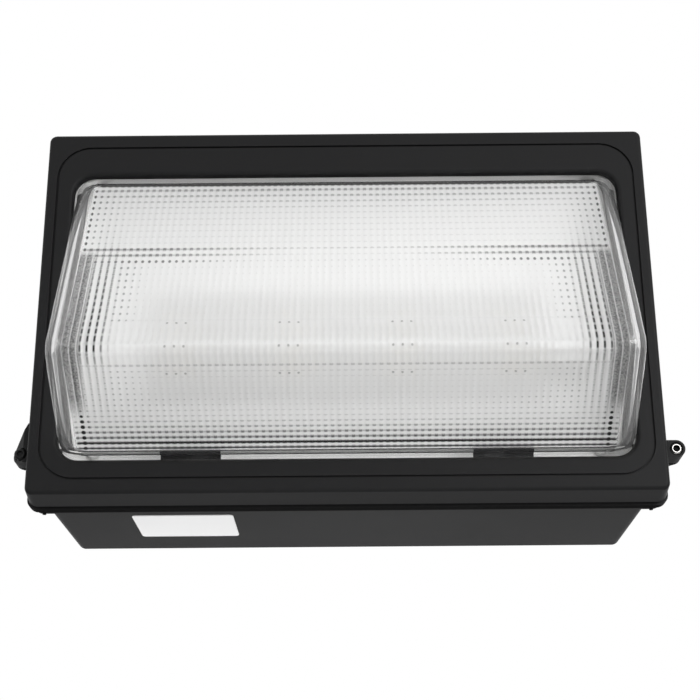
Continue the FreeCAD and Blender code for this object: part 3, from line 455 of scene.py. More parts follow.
def prism_attributes_and_painted_shade(piece):
    """Each strength of painted shade is read from its table at the row's place, and goes over from the
    middle's value to the side's by a smooth step of |x|. The side walls get painted shade of 0.5.
    The outside and the flange have no marks."""
    x, across = inner[:, :, 0], np.abs(inner[:, :, 0])
    place, distance = (np.tile(rows[:, k][:, None], (1, x.shape[1])) for k in (3, 4))
    at = {name: np.interp(place, PAINTED_MARK_PLACES, table) for name, table in PAINTED_MARKS.items()}
    on_rows = ((distance > BOWL_FOOT) & (rows[:, 0] <= 3)[:, None]).astype(float)
    on_face = on_rows * (1 - smooth(across, FIELD_HALF_W - FIELD_FADE, FIELD_HALF_W))
    side = np.zeros_like(across)
    for until, low, high in reversed(SIDE_FADES):
        side = np.where(place < until, smooth(across, low, high), side)
    edge_column = smooth(across, 145, 148) * (place < 11.5)
    corner_column = smooth(across, 137.5, 143.5) * (1 - smooth(across, 145.5, 148))
    blobs = 1.5 * corner_column * smooth(place, 32, 38)
    dots = at["dots_middle"] + (at["dots_side"] - at["dots_middle"]) * side
    dots = np.maximum(np.maximum(dots, edge_column), blobs)
    lines = at["lines_middle"] + (at["lines_side"] - at["lines_middle"]) * side
    stripes = at["stripes_side"] * smooth(across, 123, 133) * (1 - smooth(across, 140, 143))
    stripes = stripes + 0.05 * ((place > 22.6) & (place < 27))
    long_side = smooth(place, 10.8, 12.5) * (1 - smooth(place, 32, 38))
    # Painted shade: mottled at the field's two sides, and 0.5 on the side walls.
    shade = np.where(across > FIELD_HALF_W, 0.5, 1.1 * smooth(across, 140, 143) * long_side)
    part = np.tile(rows[:, :1], (1, x.shape[1]))
    window = 1 - smooth(across, FIELD_HALF_W - 1, FIELD_HALF_W + 1)
    near_brow = 1 + 0.6 * (1 - smooth(place, 0, 8))
    inside = {"flute_count": x / FLUTE, "prism_count": place, "path_mm": distance,
              "dot_strength": dots * on_face, "line_strength": lines * on_face,
              "stripe_strength": stripes * on_face, "shade": shade * on_rows,
              "stippled": (part < 4) * window * near_brow,
              "plain": (part == 4) | ((part == 0) & (distance < CLEAR_BROW))}
    outside = {"stippled": 2.5 * (part == 0) + 0.3 * smooth(across, 151, 153) * (part < 4),
               "plain": part == 4}
    for name, values in inside.items():
        full = np.full(len(piece.data.vertices), float(name == "plain"))
        full[:bowl_size] = np.ravel(outside.get(name, 0.0))
        full[bowl_size:2 * bowl_size] = values.ravel()
        kept = piece.data.attributes.new(name, "FLOAT", "POINT")
        kept.data.foreach_set("value", full.astype(np.float32))
    return sorted(inside)


print("attributes:", prism_attributes_and_painted_shade(bowl))

# %% [markdown]
# ## Small parts
#
# Rounded blocks, such as a connector or a chip, are superellipsoids: a sphere's formula with every
# sine and cosine raised to a small power, which swells the ball into a box with soft edges. Plates
# and LED cases are stacks of rings instead, because they need flat faces.

# %% Shapes for small parts
def signed_power(value, power):
    """The size raised to the power, with the value's own sign."""
    return np.sign(value) * np.abs(value) ** power


def rounded_block(centre, half, power=0.22, around=24, along=11):
    """Superellipsoid: x = a C(v) C(u), y = b C(v) S(u), z = c S(v), where C and S are the cosine
    and sine raised to the power. The first and last ring are closed by one pole each."""
    u = np.linspace(0, 2 * math.pi, around, endpoint=False)
    v = np.linspace(-math.pi / 2, math.pi / 2, along + 2)[1:-1]
    v, u = np.meshgrid(v, u, indexing="ij")
    c_v, s_v = signed_power(np.cos(v), power), signed_power(np.sin(v), power)
    c_u, s_u = signed_power(np.cos(u), power), signed_power(np.sin(u), power)
    ring = np.stack([half[0] * c_v * c_u, half[1] * c_v * s_u, half[2] * s_v], 2).reshape(-1, 3)
    poles = np.array([[0, 0, -half[2]], [0, 0, half[2]]])
    return np.concatenate([ring, poles]) + np.asarray(centre), cap_faces(along, around)


def cap_faces(rings, around):
    """Triangles of a closed column of rings whose two poles are the last two vertices."""
    quads = grid_faces(rings, around, closed=True)
    halves = np.concatenate([quads[:, [0, 1, 2]], quads[:, [0, 2, 3]]])
    j = np.arange(around)
    top = (rings - 1) * around
    low_cap = np.stack([(j + 1) % around, j, np.full(around, rings * around)], 1)
    top_cap = np.stack([top + j, top + (j + 1) % around, np.full(around, rings * around + 1)], 1)
    return np.concatenate([halves, low_cap, top_cap])


def ring_stack(outlines, heights, axis_out):
    """Rings of (n, 2) points, one for each height along the direction axis_out, closed by a pole in
    the middle of the first and the last ring."""
    side = unit(np.cross(axis_out, (0.0, 0.0, 1.0) if abs(axis_out[2]) < 0.9 else (1.0, 0.0, 0.0)))
    up, out = np.cross(side, axis_out), np.asarray(axis_out)
    rings = [o[:, :1] * side + o[:, 1:] * up + h * out for o, h in zip(outlines, heights)]
    poles = [r.mean(0, keepdims=True) for r in (rings[0], rings[-1])]
    return np.concatenate(rings + poles), cap_faces(len(rings), len(rings[0]))


def rounded_outline(half_w, half_h, radius, per_corner=6):
    """Four quarter circles, joined: corner centre plus the radius times (cos, sin)."""
    turn = np.linspace(0, math.pi / 2, per_corner)
    corners = []
    for k, (sx, sz) in enumerate(((1, 1), (-1, 1), (-1, -1), (1, -1))):
        angle = turn + k * math.pi / 2
        corners.append(np.stack([sx * (half_w - radius) + radius * np.cos(angle),
                                 sz * (half_h - radius) + radius * np.sin(angle)], 1))
    return np.concatenate(corners)


def gather(parts):
    """Joins (points, faces) pairs into one pair, with the faces' numbers moved on."""
    starts = np.cumsum([0] + [len(p) for p, _ in parts[:-1]])
    faces = [f + start for (_, f), start in zip(parts, starts)]
    return np.concatenate([p for p, _ in parts]), np.concatenate(faces)


print("a block has", len(cap_faces(11, 24)), "triangles")

# %% [markdown]
# The LEDs are square white cases, 3 mm wide, with a shallow round pool of yellow phosphor in the
# middle. They sit in four groups of nine. One case is a stack of rings that goes up the outside,
# over the rim and down into the pool. Adding a place to its whole array of points copies it there.

# %% LED cases and their phosphor
GROUPS_X = np.array([-96.0, -32.0, 32.0, 96.0])
COLUMNS_X, ROWS_Z = np.array([-7.0, 0.0, 7.0]), np.array([-13.0, 0.0, 13.0])
FORWARD, DOWN = (0.0, -1.0, 0.0), (0.0, 0.0, -1.0)


def squircle(half, power, around=16):
    """Outline between a circle (power 2) and a square (high power): radius = half divided by
    (|cos|^p + |sin|^p)^(1/p)."""
    angle = np.linspace(0, 2 * math.pi, around, endpoint=False) + math.pi / around
    c, s = np.cos(angle), np.sin(angle)
    radius = half / (np.abs(c) ** power + np.abs(s) ** power) ** (1 / power)
    return np.stack([radius * c, radius * s], 1)


def led_places():
    """Centre of every LED on the board: four groups, three columns, three rows."""
    lo, hi = (np.array(v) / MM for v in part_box("led_packages"))
    x, z = np.meshgrid((GROUPS_X[:, None] + COLUMNS_X).ravel(), (lo[2] + hi[2]) / 2 + ROWS_Z)
    return np.stack([x.ravel(), np.full(x.size, hi[1]), z.ravel()], 1)


def at_places(shape, places):
    """The same shape at every place."""
    return gather([(shape[0] + place, shape[1]) for place in places])


places = led_places()
case = ring_stack([squircle(h, p) for h, p in ((1.5, 9), (1.5, 9), (1.38, 9), (1.2, 3), (1.12, 2))],
                  [0.0, 0.5, 0.62, 0.62, 0.5], FORWARD)
pool = ring_stack([squircle(h, 2) for h in (1.15, 1.15, 0.8, 0.4)],
                  [0.3, 0.52, 0.62, 0.66], FORWARD)
led_cases = mesh_object("led_cases", *at_places(case, places), "housing", False)
led_pools = mesh_object("led_phosphor_pools", *at_places(pool, places), "housing")
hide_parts("led_packages")
print("LEDs:", len(places), " triangles each:", len(case[1]) + len(pool[1]))

# %% [markdown]
# A real board also carries a connector for the two leads, and a few chip resistors between the
# groups. They are small, but an open door shows them.

# %% Board parts
BOARD_MIDDLE = -18.0
CONNECTOR_HALF, POLE_STEP = (4.5, 1.8, 2.3), 5.2
CHIP_HALF = (1.0, 0.36, 0.6)


def board_parts():
    """A two-pole connector at the right end, and six chips at each gap between the groups."""
    lo, hi = (np.array(v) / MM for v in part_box("led_board"))
    front, right = lo[1], hi[0]
    pole = np.array((right - 7, front - 1.6, BOARD_MIDDLE - 13))
    parts = [rounded_block(pole + (0, 0, k * POLE_STEP), CONNECTOR_HALF) for k in (0, 1)]
    for x in (-64.0, 0.0, 64.0):
        middle = np.array((x, front - 0.3, BOARD_MIDDLE))
        parts += [rounded_block(middle + (dx, 0, dz), CHIP_HALF, around=16, along=7)
                  for dx in (-4, 4) for dz in (-9, 0, 9)]
    return gather(parts)


parts_on_board = mesh_object("board_parts", *board_parts(), "housing")
print("board parts, triangles:", len(parts_on_board.data.polygons))

# %% [markdown]
# Under the housing sits a thin white plate, left bare. It is a rounded sheet with a small bevel,
# laid along the underside, which rises a little towards the wall.

# %% The bare plate
PLATE_CENTRE, PLATE_HALF, PLATE_T = (-95.8, -61.0), (29.4, 25.0), 0.5
PLATE_CORNER, PLATE_BEVEL = 2.5, (0, 0, 0.25)
BODY_LOW = (-112.5, -111.5, -97.0)  # underside at the front, at the wall, and y of the front


def bare_plate():
    """Rings go up the edge and over the bevel; then the whole sheet is tilted with the underside.
    On a stack that points down, an outline's first coordinate runs along y, so depth comes first."""
    width, depth = PLATE_HALF
    outlines = [rounded_outline(depth - e, width - e, PLATE_CORNER - e) for e in PLATE_BEVEL]
    points, faces = ring_stack(outlines, [0.0, PLATE_T - 0.2, PLATE_T], DOWN)
    x, y = points[:, 0] + PLATE_CENTRE[0], points[:, 1] + PLATE_CENTRE[1]
    front, wall, y_front = BODY_LOW
    z = points[:, 2] + front + (wall - front) * (y - y_front) / -y_front
    return np.stack([x, y, z], 1), faces


plate = mesh_object("bare_plate", *bare_plate(), "housing", False)
print("plate, mm:", [round(2 * v, 1) for v in PLATE_HALF])

# %% [markdown]
# ## Finishes
#
# Every surface gets a material made of nodes. Two effects come back in nearly all of them: a fine
# relief, such as the orange peel of powder coat or the grain of a casting, and a slow drift of
# tone from handling and dust. Each is a node group with named inputs, made once. The groups put
# out only values; the shader itself stays in each material.

# %% Nodes
def fill(tree, socket, value):
    """Gives a socket a number or a colour, or links it to another node's output."""
    if isinstance(value, tuple):
        socket.default_value = (*value, 1.0)
    elif isinstance(value, (int, float)):
        socket.default_value = value
    else:
        tree.links.new(value, socket)


def feed(tree, node, **inputs):
    """Fills a node's inputs by name; Rough_Low=... goes to the input Rough Low."""
    for label, value in inputs.items():
        fill(tree, node.inputs[label.replace("_", " ")], value)
    return node


def add_node(tree, kind, **inputs):
    """A new node with some of its inputs filled."""
    return feed(tree, tree.nodes.new(kind), **inputs)


def math_node(tree, operation, *values):
    """A Math node over two values, or a chain of them over more."""
    node = tree.nodes.new("ShaderNodeMath")
    node.operation = operation
    for socket, value in zip(node.inputs, values[:2]):
        fill(tree, socket, value)
    rest = values[2:]
    return math_node(tree, operation, node.outputs[0], *rest) if rest else node.outputs[0]


def length_of(tree, a, b):
    """Square root of a^2 + b^2."""
    squares = [math_node(tree, "POWER", value, 2.0) for value in (a, b)]
    return math_node(tree, "SQRT", math_node(tree, "ADD", *squares))


def ramp(tree, value, zero, one, kind="LINEAR"):
    """Goes from 0, where the value is at zero, to 1, where it is at one, and stays level beyond."""
    node = add_node(tree, "ShaderNodeMapRange", Value=value, From_Min=zero, From_Max=one)
    node.interpolation_type = kind
    return node.outputs["Result"]


def within(tree, value, low, high, blend):
    """1 between low and high, falling to 0 over the blend's width outside them."""
    return math_node(tree, "MULTIPLY", ramp(tree, value, low - blend, low),
                     ramp(tree, value, high + blend, high))


def noise(tree, scale, detail=3.0):
    """Noise on Object coordinates."""
    place = tree.nodes.new("ShaderNodeTexCoord").outputs["Object"]
    made = add_node(tree, "ShaderNodeTexNoise", Vector=place, Scale=scale, Detail=detail)
    return made.outputs["Fac"]


def split_of(tree, kind, output):
    """X, Y and Z of a node's vector."""
    vector = tree.nodes.new(kind).outputs[output]
    return add_node(tree, "ShaderNodeSeparateXYZ", Vector=vector).outputs


# %% Node groups
# Where painted shade darkens the underside of the housing's rim, in y and in z.
RIM_Y, RIM_Z = (-0.1115, -0.0985), (-1.0, -0.105)  # metres, like all Object coordinates


def group(name, outputs, **inputs):
    """An empty shader group whose sockets are all values; each input comes with its default."""
    made = bpy.data.node_groups.new(name, "ShaderNodeTree")
    for in_out, labels in (("INPUT", inputs), ("OUTPUT", outputs)):
        for label in labels:
            socket = made.interface.new_socket(label.replace("_", " "), in_out=in_out,
                                               socket_type="NodeSocketFloat")
            if label in inputs:
                socket.default_value = inputs[label]
    return made, made.nodes.new("NodeGroupInput").outputs, made.nodes.new("NodeGroupOutput")


def make_surface_group():
    """Fine relief as Height, and Roughness that drifts between two values with a slow noise."""
    tree, given, out = group("surface_grain", ("Height", "Roughness", "Drift"),
                             Grain_Scale=900.0, Rough_Low=0.4, Rough_High=0.5)
    fine, slow = noise(tree, given["Grain Scale"], 4.0), noise(tree, 9.0)
    span = math_node(tree, "SUBTRACT", given["Rough High"], given["Rough Low"])
    rough = math_node(tree, "ADD", given["Rough Low"], math_node(tree, "MULTIPLY", span, slow))
    feed(tree, out, Height=fine, Roughness=rough, Drift=slow)
    return tree


def make_dust_group():
    """Dust lies where the surface looks up, in patches. Mask = facing up x noise x amount."""
    tree, given, out = group("settled_dust", ("Mask",), Amount=0.3)
    up = math_node(tree, "MAXIMUM", split_of(tree, "ShaderNodeNewGeometry", "Normal")["Z"], 0.0)
    feed(tree, out, Mask=math_node(tree, "MULTIPLY", up, noise(tree, 40.0, 6.0), given["Amount"]))
    return tree


def make_painted_rim_shade_group():
    """Painted shade under the housing's rim, behind the door: within RIM_Y and RIM_Z, facing down."""
    tree, _, out = group("painted_rim_shade", ("Mask",))
    place = split_of(tree, "ShaderNodeTexCoord", "Object")
    normal = split_of(tree, "ShaderNodeNewGeometry", "Normal")
    down = math_node(tree, "MAXIMUM", math_node(tree, "MULTIPLY", normal["Z"], -1.0), 0.0)
    band, low = within(tree, place["Y"], *RIM_Y, 0.001), within(tree, place["Z"], *RIM_Z, 0.002)
    feed(tree, out, Mask=math_node(tree, "MULTIPLY", band, low, down))
    return tree


def make_painted_socket_shade_group():
    """Painted shade inside a closing screw's socket: nearer to the screw's axis than Radius."""
    lo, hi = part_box("closing_screw_right")
    tree, given, out = group("painted_socket_shade", ("Mask",), Radius=0.002)
    place, middle = split_of(tree, "ShaderNodeTexCoord", "Object"), (lo[0] + hi[0]) / 2
    across = math_node(tree, "SUBTRACT", math_node(tree, "ABSOLUTE", place["X"]), middle)
    up = math_node(tree, "SUBTRACT", place["Z"], (lo[2] + hi[2]) / 2)
    feed(tree, out, Mask=math_node(tree, "LESS_THAN", length_of(tree, across, up), given["Radius"]))
    return tree


surface_grain, settled_dust = make_surface_group(), make_dust_group()
painted_rim_shade, painted_socket_shade = make_painted_rim_shade_group(), make_painted_socket_shade_group()
print("groups:", *(g.name for g in (surface_grain, settled_dust, painted_rim_shade, painted_socket_shade)))


# %% A finish from its numbers
def place_group(tree, kind, **inputs):
    """The outputs of a group node."""
    node = tree.nodes.new("ShaderNodeGroup")
    node.node_tree = kind
    return feed(tree, node, **inputs).outputs


def blend_colours(tree, factor, *colours):
    """Mix node for two colours or sockets."""
    mix = tree.nodes.new("ShaderNodeMix")
    mix.data_type = "RGBA"
    fill(tree, mix.inputs["Factor"], factor)
    for socket, colour in zip([i for i in mix.inputs if i.type == "RGBA"], colours):
        fill(tree, socket, colour)
    return next(o for o in mix.outputs if o.type == "RGBA")


def new_material(name):
    """A material with nodes, and its tree."""
    material = bpy.data.materials.new(name)
    material.use_nodes = True
    return material, material.node_tree


# The second colour is that of painted shade, nearly black.
DUST, PAINTED_SHADE_BLACK = (0.32, 0.30, 0.27), (0.004, 0.004, 0.004)
SHADE_DULLS = 0.97  # share of the shine that a full shade takes away


def finish(name, colour, drifted, rough, grain=900.0, depth=0.05, metal=0.0, shine=0.5,
           dust=0.0, shade=None):
    """A material whose colour drifts between two tones, with drifting roughness and a fine relief.
    Where the mask of the group in shade is 1, painted shade makes it nearly black and dull."""
    material, tree = new_material(name)
    low, high = rough
    body = place_group(tree, surface_grain, Grain_Scale=grain, Rough_Low=low, Rough_High=high)
    tone = blend_colours(tree, body["Drift"], colour, drifted)
    if dust:
        tone = blend_colours(tree, place_group(tree, settled_dust, Amount=dust)["Mask"], tone, DUST)
    if shade:
        mask = place_group(tree, shade)["Mask"]
        tone = blend_colours(tree, mask, tone, PAINTED_SHADE_BLACK)
        lit = math_node(tree, "SUBTRACT", 1.0, math_node(tree, "MULTIPLY", mask, SHADE_DULLS))
        shine = math_node(tree, "MULTIPLY", lit, shine)
    bump = add_node(tree, "ShaderNodeBump", Strength=1.0, Distance=depth * MM, Height=body["Height"])
    feed(tree, tree.nodes["Principled BSDF"], Base_Color=tone, Metallic=metal,
         Specular_IOR_Level=shine, Roughness=body["Roughness"], Normal=bump.outputs["Normal"])
    return material


# %% [markdown]
# Powder coat is a satin plastic skin: its colour hardly matters beside its soft sheen, so the
# reflection is kept low and broad. In the picture the rim's underside, right behind the door, and
# the socket of the right closing screw are nearly black, so two masks paint shade on them. The left
# closing screw doesn't shine there, so it gets steel in painted shade, nearly black. The reflector
# and tray are white enamel, which sends back most of the light. Metals differ in tone and in
# roughness.

# %% The finishes
STEEL = ((0.62, 0.61, 0.59), (0.52, 0.51, 0.50), (0.2, 0.34))
# Two tones, the range of roughness, and what differs from plain enamel.
FINISHES = {
    # The powder coat gets painted shade under the housing's rim.
    "black_powder_coat": ((0.0110, 0.0110, 0.0115), (0.0150, 0.0150, 0.0155), (0.42, 0.52),
                          dict(grain=1500.0, shine=0.15, dust=0.10, shade=painted_rim_shade)),
    # Steel with painted shade in the right closing screw's socket.
    "steel_with_painted_socket_shade": (*STEEL, dict(metal=1.0, shade=painted_socket_shade)),
    # The left closing screw's steel in painted shade: nearly black and dull all over.
    "steel_in_painted_shade": ((0.010, 0.010, 0.010), (0.016, 0.016, 0.016), (0.4, 0.5), dict(shine=0.2)),
    "white_silicone": ((0.72, 0.72, 0.70), (0.66, 0.65, 0.62), (0.55, 0.7), dict(depth=0.02)),
    "black_silicone": ((0.012, 0.012, 0.012), (0.02, 0.02, 0.02), (0.6, 0.75), dict(shine=0.3)),
    "clip_steel": ((0.03, 0.03, 0.032), (0.05, 0.05, 0.052), (0.35, 0.45), dict(metal=0.4)),
    "zinc_steel": ((0.55, 0.56, 0.57), (0.46, 0.47, 0.47), (0.28, 0.42), dict(metal=1.0)),
    "stainless_steel": (*STEEL, dict(metal=1.0)),
    "white_tray_paint": ((0.90, 0.90, 0.89), (0.86, 0.86, 0.85), (0.4, 0.5), {}),
    "white_reflector": ((0.93, 0.93, 0.92), (0.90, 0.90, 0.89), (0.35, 0.45), {}),
    "thermal_silicone": ((0.55, 0.56, 0.60), (0.48, 0.49, 0.53), (0.6, 0.7), {}),
    "white_board": ((0.62, 0.62, 0.61), (0.58, 0.58, 0.57), (0.3, 0.4), dict(grain=3000.0)),
    "led_phosphor": ((0.80, 0.58, 0.09), (0.72, 0.50, 0.07), (0.3, 0.4), {}),
    "led_case": ((0.85, 0.85, 0.83), (0.80, 0.80, 0.78), (0.35, 0.45), {}),
    "board_plastic": ((0.78, 0.77, 0.72), (0.70, 0.69, 0.65), (0.4, 0.5), {}),
    "driver_case": ((0.42, 0.43, 0.44), (0.36, 0.37, 0.38), (0.3, 0.45), dict(metal=0.8)),
    "surge_case": ((0.05, 0.05, 0.055), (0.07, 0.07, 0.075), (0.4, 0.5), {}),
    "terminal_plastic": ((0.60, 0.60, 0.57), (0.52, 0.52, 0.50), (0.4, 0.5), {}),
    "green_screw": ((0.03, 0.26, 0.09), (0.02, 0.20, 0.07), (0.3, 0.4), dict(metal=0.3)),
    "black_wire": ((0.02, 0.02, 0.02), (0.03, 0.03, 0.03), (0.4, 0.5), {}),
    "white_wire": ((0.80, 0.80, 0.79), (0.74, 0.74, 0.73), (0.4, 0.5), {}),
    "white_screw": ((0.84, 0.84, 0.83), (0.78, 0.78, 0.77), (0.35, 0.45), {}),
    "blank_plate": ((0.93, 0.93, 0.93), (0.90, 0.90, 0.90), (0.35, 0.45), dict(shine=0.3)),
}
finishes = {name: finish(name, *tones, **extra) for name, (*tones, extra) in FINISHES.items()}
print("finishes:", len(finishes))

# %% [markdown]
# Glass is one Principled shader with full transmission. Light from the lamps has to pass through
# it to reach the white tray, and a path tracer finds such paths badly, so rays that only ask for a
# lamp see the glass as open. The dark look of the valleys between prisms is painted shade: a dull
# black laid over the glass, as a dot where a flute's edge crosses a prism's edge, dashes and lines
# along the prisms, stripes down the flutes, a mottled shade at the field's two sides, and small
# dark images of the LEDs. They are painted, and not left to the relief, so that each place could
# be given its strength one by one.

# %% Glass
LED_GROUP, LED_ACROSS = 30.2, 5.0  # half the step from group to group, and from dot to dot, mm
LED_MIDDLE, LED_DOWN = 143.6, 16.4  # the middle row along the path, and the step from row to row
# The LEDs' images in the glass are painted, as dark spots.
PAINTED_LED_DARK = 0.45  # how dark the image of an LED is
DOT_REACH, DOT_GROWS = 0.15, 0.2  # a dot's radius, and what full strength adds to it
LINE_WIDTH, DASH_WIDTH = 0.34, 0.12  # a full line's half width, and what a dash adds to it
GLASS_IOR = 1.45
SCATTER = 0.4  # share of the light that fully stippled glass scatters


def attribute(tree, name):
    """A number kept on the mesh."""
    node = tree.nodes.new("ShaderNodeAttribute")
    node.attribute_name = name
    return node.outputs["Fac"]


def fade(tree, value, full, none):
    """1 where the value is at or under full, 0 where it is at or over none, smooth between."""
    return ramp(tree, value, none, full, "SMOOTHSTEP")


def make_painted_prism_shade_group():
    """Mark = painted shade, the greatest of dots, lines, stripes, mottled shade and LED images, each
    with its own strength over the bowl. The ping-pong of a count by 0.5 is the distance to the
    nearest valley, in units of the pitch. A dot grows with its strength. A line is thickest and
    firmest at each flute's edge, the more so the weaker it is, so that a weak line breaks up into
    dashes."""
    tree, _, out = group("painted_prism_shade", ("Mark",))
    calc = partial(math_node, tree)
    flute, prism, strong, firm, striped, shaded = (attribute(tree, name) for name in (
        "flute_count", "prism_count", "dot_strength", "line_strength", "stripe_strength", "shade"))
    flute, prism = calc("PINGPONG", flute, 0.5), calc("PINGPONG", prism, 0.5)
    reach = calc("ADD", DOT_REACH, calc("MULTIPLY", strong, DOT_GROWS))
    spot = fade(tree, length_of(tree, flute, prism), calc("MULTIPLY", reach, 0.4), reach)
    dash = fade(tree, flute, 0.15, 0.42)
    wide = calc("ADD", calc("MULTIPLY", firm, LINE_WIDTH), calc("MULTIPLY", dash, DASH_WIDTH))
    whole = calc("ADD", 0.2, calc("MULTIPLY", calc("POWER", firm, 4.0), 0.75))
    lines = calc("MULTIPLY", fade(tree, prism, 0.04, wide), firm, calc("MAXIMUM", dash, whole))
    cell = calc("SUBTRACT", 1.0, calc("MULTIPLY", fade(tree, prism, 0.05, 0.3), 0.5))
    stripes = calc("MULTIPLY", fade(tree, flute, 0.05, 0.26), cell, striped)
    speckle = calc("ADD", calc("MULTIPLY", noise(tree, 900.0, 2.0), 0.8), 0.2)
    mottled = calc("MULTIPLY", shaded, speckle, fade(tree, flute, 0.3, 0.55))
    dots = calc("MULTIPLY", spot, strong)
    feed(tree, out, Mark=calc("MAXIMUM", dots, lines, stripes, mottled, painted_led_images(tree)))
    return tree


def painted_led_images(tree):
    """Painted images of the LEDs, small and dark: three in a row, in each of four groups, in three rows
    near the knee. The offset from a group's middle is LED_GROUP minus the triangle wave of x."""
    calc = partial(math_node, tree)
    x = calc("MULTIPLY", attribute(tree, "flute_count"), FLUTE)
    off = calc("SUBTRACT", LED_GROUP, calc("PINGPONG", x, LED_GROUP))
    down = calc("SUBTRACT", attribute(tree, "path_mm"), LED_MIDDLE)
    in_group = fade(tree, off, 6.5, 7.5)
    in_rows = fade(tree, calc("ABSOLUTE", down), LED_DOWN + 2, LED_DOWN + 3)
    a, b = calc("PINGPONG", off, LED_ACROSS / 2), calc("PINGPONG", down, LED_DOWN / 2)
    radius = length_of(tree, a, b)
    return calc("MULTIPLY", fade(tree, radius, 0.3, 1.0), in_group, in_rows, PAINTED_LED_DARK)


painted_prism_shade = make_painted_prism_shade_group()


def mix_shaders(tree, factor, first, second):
    """Mix Shader node over two nodes."""
    mix = tree.nodes.new("ShaderNodeMixShader")
    for socket, value in zip(mix.inputs, (factor, first.outputs[0], second.outputs[0])):
        fill(tree, socket, value)
    return mix


def grey(tree, kind, level, **inputs):
    """A shader node in a grey of that level."""
    return add_node(tree, "ShaderNodeBsdf" + kind, Color=(level,) * 3, **inputs)


def make_glass():
    """Clear outside, stippled inside, so part of the light scatters there. A mark of painted shade
    swaps the glass for a dull black. On the flat ledges next to the door the two sides are parallel
    and close, so the view goes straight through, with a mirror image on top that grows at a flat
    angle."""
    material, tree = new_material("prismatic_glass")
    stippled = attribute(tree, "stippled")
    rough = math_node(tree, "ADD", 0.03, math_node(tree, "MULTIPLY", stippled, 0.27))
    glass = feed(tree, tree.nodes["Principled BSDF"], Transmission_Weight=1.0, IOR=GLASS_IOR,
                 Base_Color=(0.985, 0.985, 0.985), Roughness=rough)
    scattering = math_node(tree, "MULTIPLY", stippled, SCATTER)
    prisms = mix_shaders(tree, scattering, glass, grey(tree, "Diffuse", 0.86))
    # Painted shade from the prism group turns the glass into a dull black where it is 1.
    painted_shade_mark = place_group(tree, painted_prism_shade)["Mark"]
    glass_with_painted_shade = mix_shaders(tree, painted_shade_mark, prisms, grey(tree, "Diffuse", 0.008))
    mirror = grey(tree, "Glossy", 1.0, Roughness=0.03)
    fresnel = add_node(tree, "ShaderNodeFresnel", IOR=GLASS_IOR).outputs["Fac"]
    pane = mix_shaders(tree, fresnel, grey(tree, "Transparent", 0.97), mirror)
    seen = mix_shaders(tree, attribute(tree, "plain"), glass_with_painted_shade, pane)
    shadow = tree.nodes.new("ShaderNodeLightPath").outputs["Is Shadow Ray"]
    final = mix_shaders(tree, shadow, seen, grey(tree, "Transparent", 1.0))
    feed(tree, tree.nodes["Material Output"], Surface=final.outputs["Shader"])
    return material


finishes["prismatic_glass"] = make_glass()


# %% Put the finishes on
def paint(piece, name):
    """One finish over the whole piece."""
    piece.data.materials.clear()
    piece.data.materials.append(finishes[name])


slot_of = {part["node"]: part["material_slot"] for part in frame["record"]["subparts"]}
for node_name, piece in nodes.items():
    paint(piece, slot_of[node_name])
new_pieces = ((bowl, "prismatic_glass"), (led_cases, "led_case"), (led_pools, "led_phosphor"),
              (parts_on_board, "board_plastic"), (plate, "blank_plate"))
# Both closing screws get steel with painted shade: in the socket on the right, all over on the left.
for piece, name in (*new_pieces, (nodes["closing_screw_right"], "steel_with_painted_socket_shade"),
                    (nodes["closing_screw_left"], "steel_in_painted_shade")):
    paint(piece, name)
print("painted:", len(nodes) + len(new_pieces))

# %% [markdown]
# ## Floor, light and sky
#
# A plain pale floor lies under the lamp, out of the main picture. The light is soft: a white sky
# for the camera, for mirrors and for glass, a dimmer one for everything that scatters light, and
# five area lamps. The strongest stands to the right, because the right end of the door is a little
# lighter in the picture. Two small ones below light the underside; one of them makes no mirror
# image, because the bowl's lower face would show it as a bright patch. The last lights the back.

# %% Floor and light
FLOOR_Z = -0.62


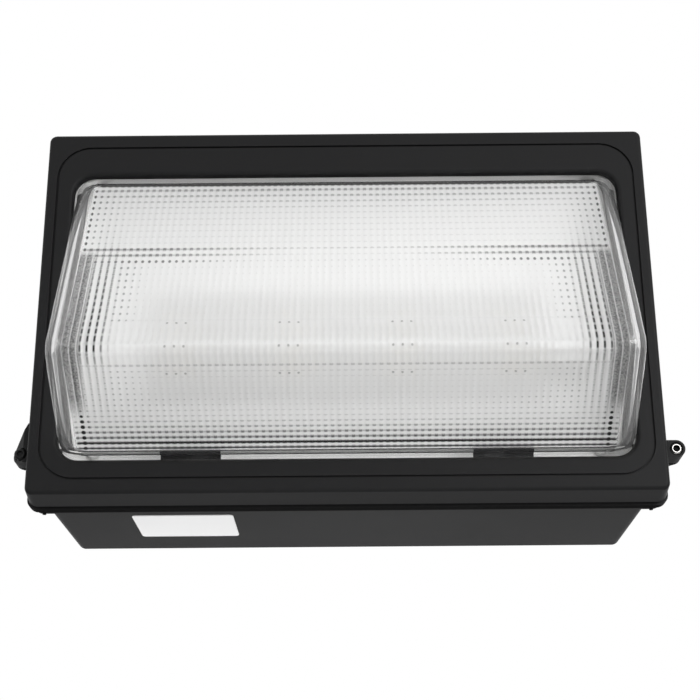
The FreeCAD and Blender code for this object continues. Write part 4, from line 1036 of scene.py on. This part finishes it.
def add_floor():
    """Square sheet of one quad, far larger than the view."""
    size = 6.0
    corners = [(x * size, y * size, FLOOR_Z) for x, y in ((-1, -1), (1, -1), (1, 1), (-1, 1))]
    mesh = bpy.data.meshes.new("floor")
    mesh.from_pydata(corners, [], [(0, 1, 2, 3)])
    floor = bpy.data.objects.new("floor", mesh)
    bpy.context.scene.collection.objects.link(floor)
    mesh.materials.append(finish("floor_paint", (0.86, 0.86, 0.86), (0.84, 0.84, 0.84), (0.6, 0.7)))


def add_lamp(name, place, target, size, power):
    """Square area lamp that faces the target."""
    data = bpy.data.lights.new(name, "AREA")
    data.energy, data.size = power, size
    lamp = bpy.data.objects.new(name, data)
    lamp.location = place
    lamp.visible_camera = False
    lamp.rotation_mode = "QUATERNION"
    lamp.rotation_quaternion = (Vector(target) - Vector(place)).to_track_quat("-Z", "Y")
    bpy.context.scene.collection.objects.link(lamp)
    return lamp


def add_sky(soft):
    """White for camera, glossy and transmission rays, and the soft strength for the rest."""
    world = bpy.data.worlds.new("sky")
    bpy.context.scene.world = world
    world.use_nodes = True
    tree = world.node_tree
    ray = tree.nodes.new("ShaderNodeLightPath")
    kinds = (ray.outputs[f"Is {kind} Ray"] for kind in ("Camera", "Glossy", "Transmission"))
    seen = math_node(tree, "MAXIMUM", *kinds)
    strength = math_node(tree, "ADD", soft, math_node(tree, "MULTIPLY", seen, 1.0 - soft))
    feed(tree, tree.nodes["Background"], Color=(1.0, 1.0, 1.0), Strength=strength)


LAMPS = (  # name, place, target, side in metres, watts
    ("right_lamp", (0.9, -1.5, 0.15), (0, -0.1, 0), 0.8, 11.0),
    ("left_lamp", (-1.5, -1.5, 0.4), (0, -0.1, 0), 1.2, 1.2),
    ("low_lamp", (0.0, -0.5, -0.57), (0, -0.1, -0.1), 0.5, 0.7),
    ("under_lamp", (-0.09, 0.30, -0.57), (-0.09, -0.06, -0.11), 0.3, 3.0),
    ("back_lamp", (0.9, 1.6, 0.8), (0, 0, 0), 1.2, 3.5),
)
add_floor()
add_sky(0.30)
lamps = {numbers[0]: add_lamp(*numbers) for numbers in LAMPS}
lamps["under_lamp"].visible_glossy = False
bpy.context.scene.view_settings.view_transform = "Standard"
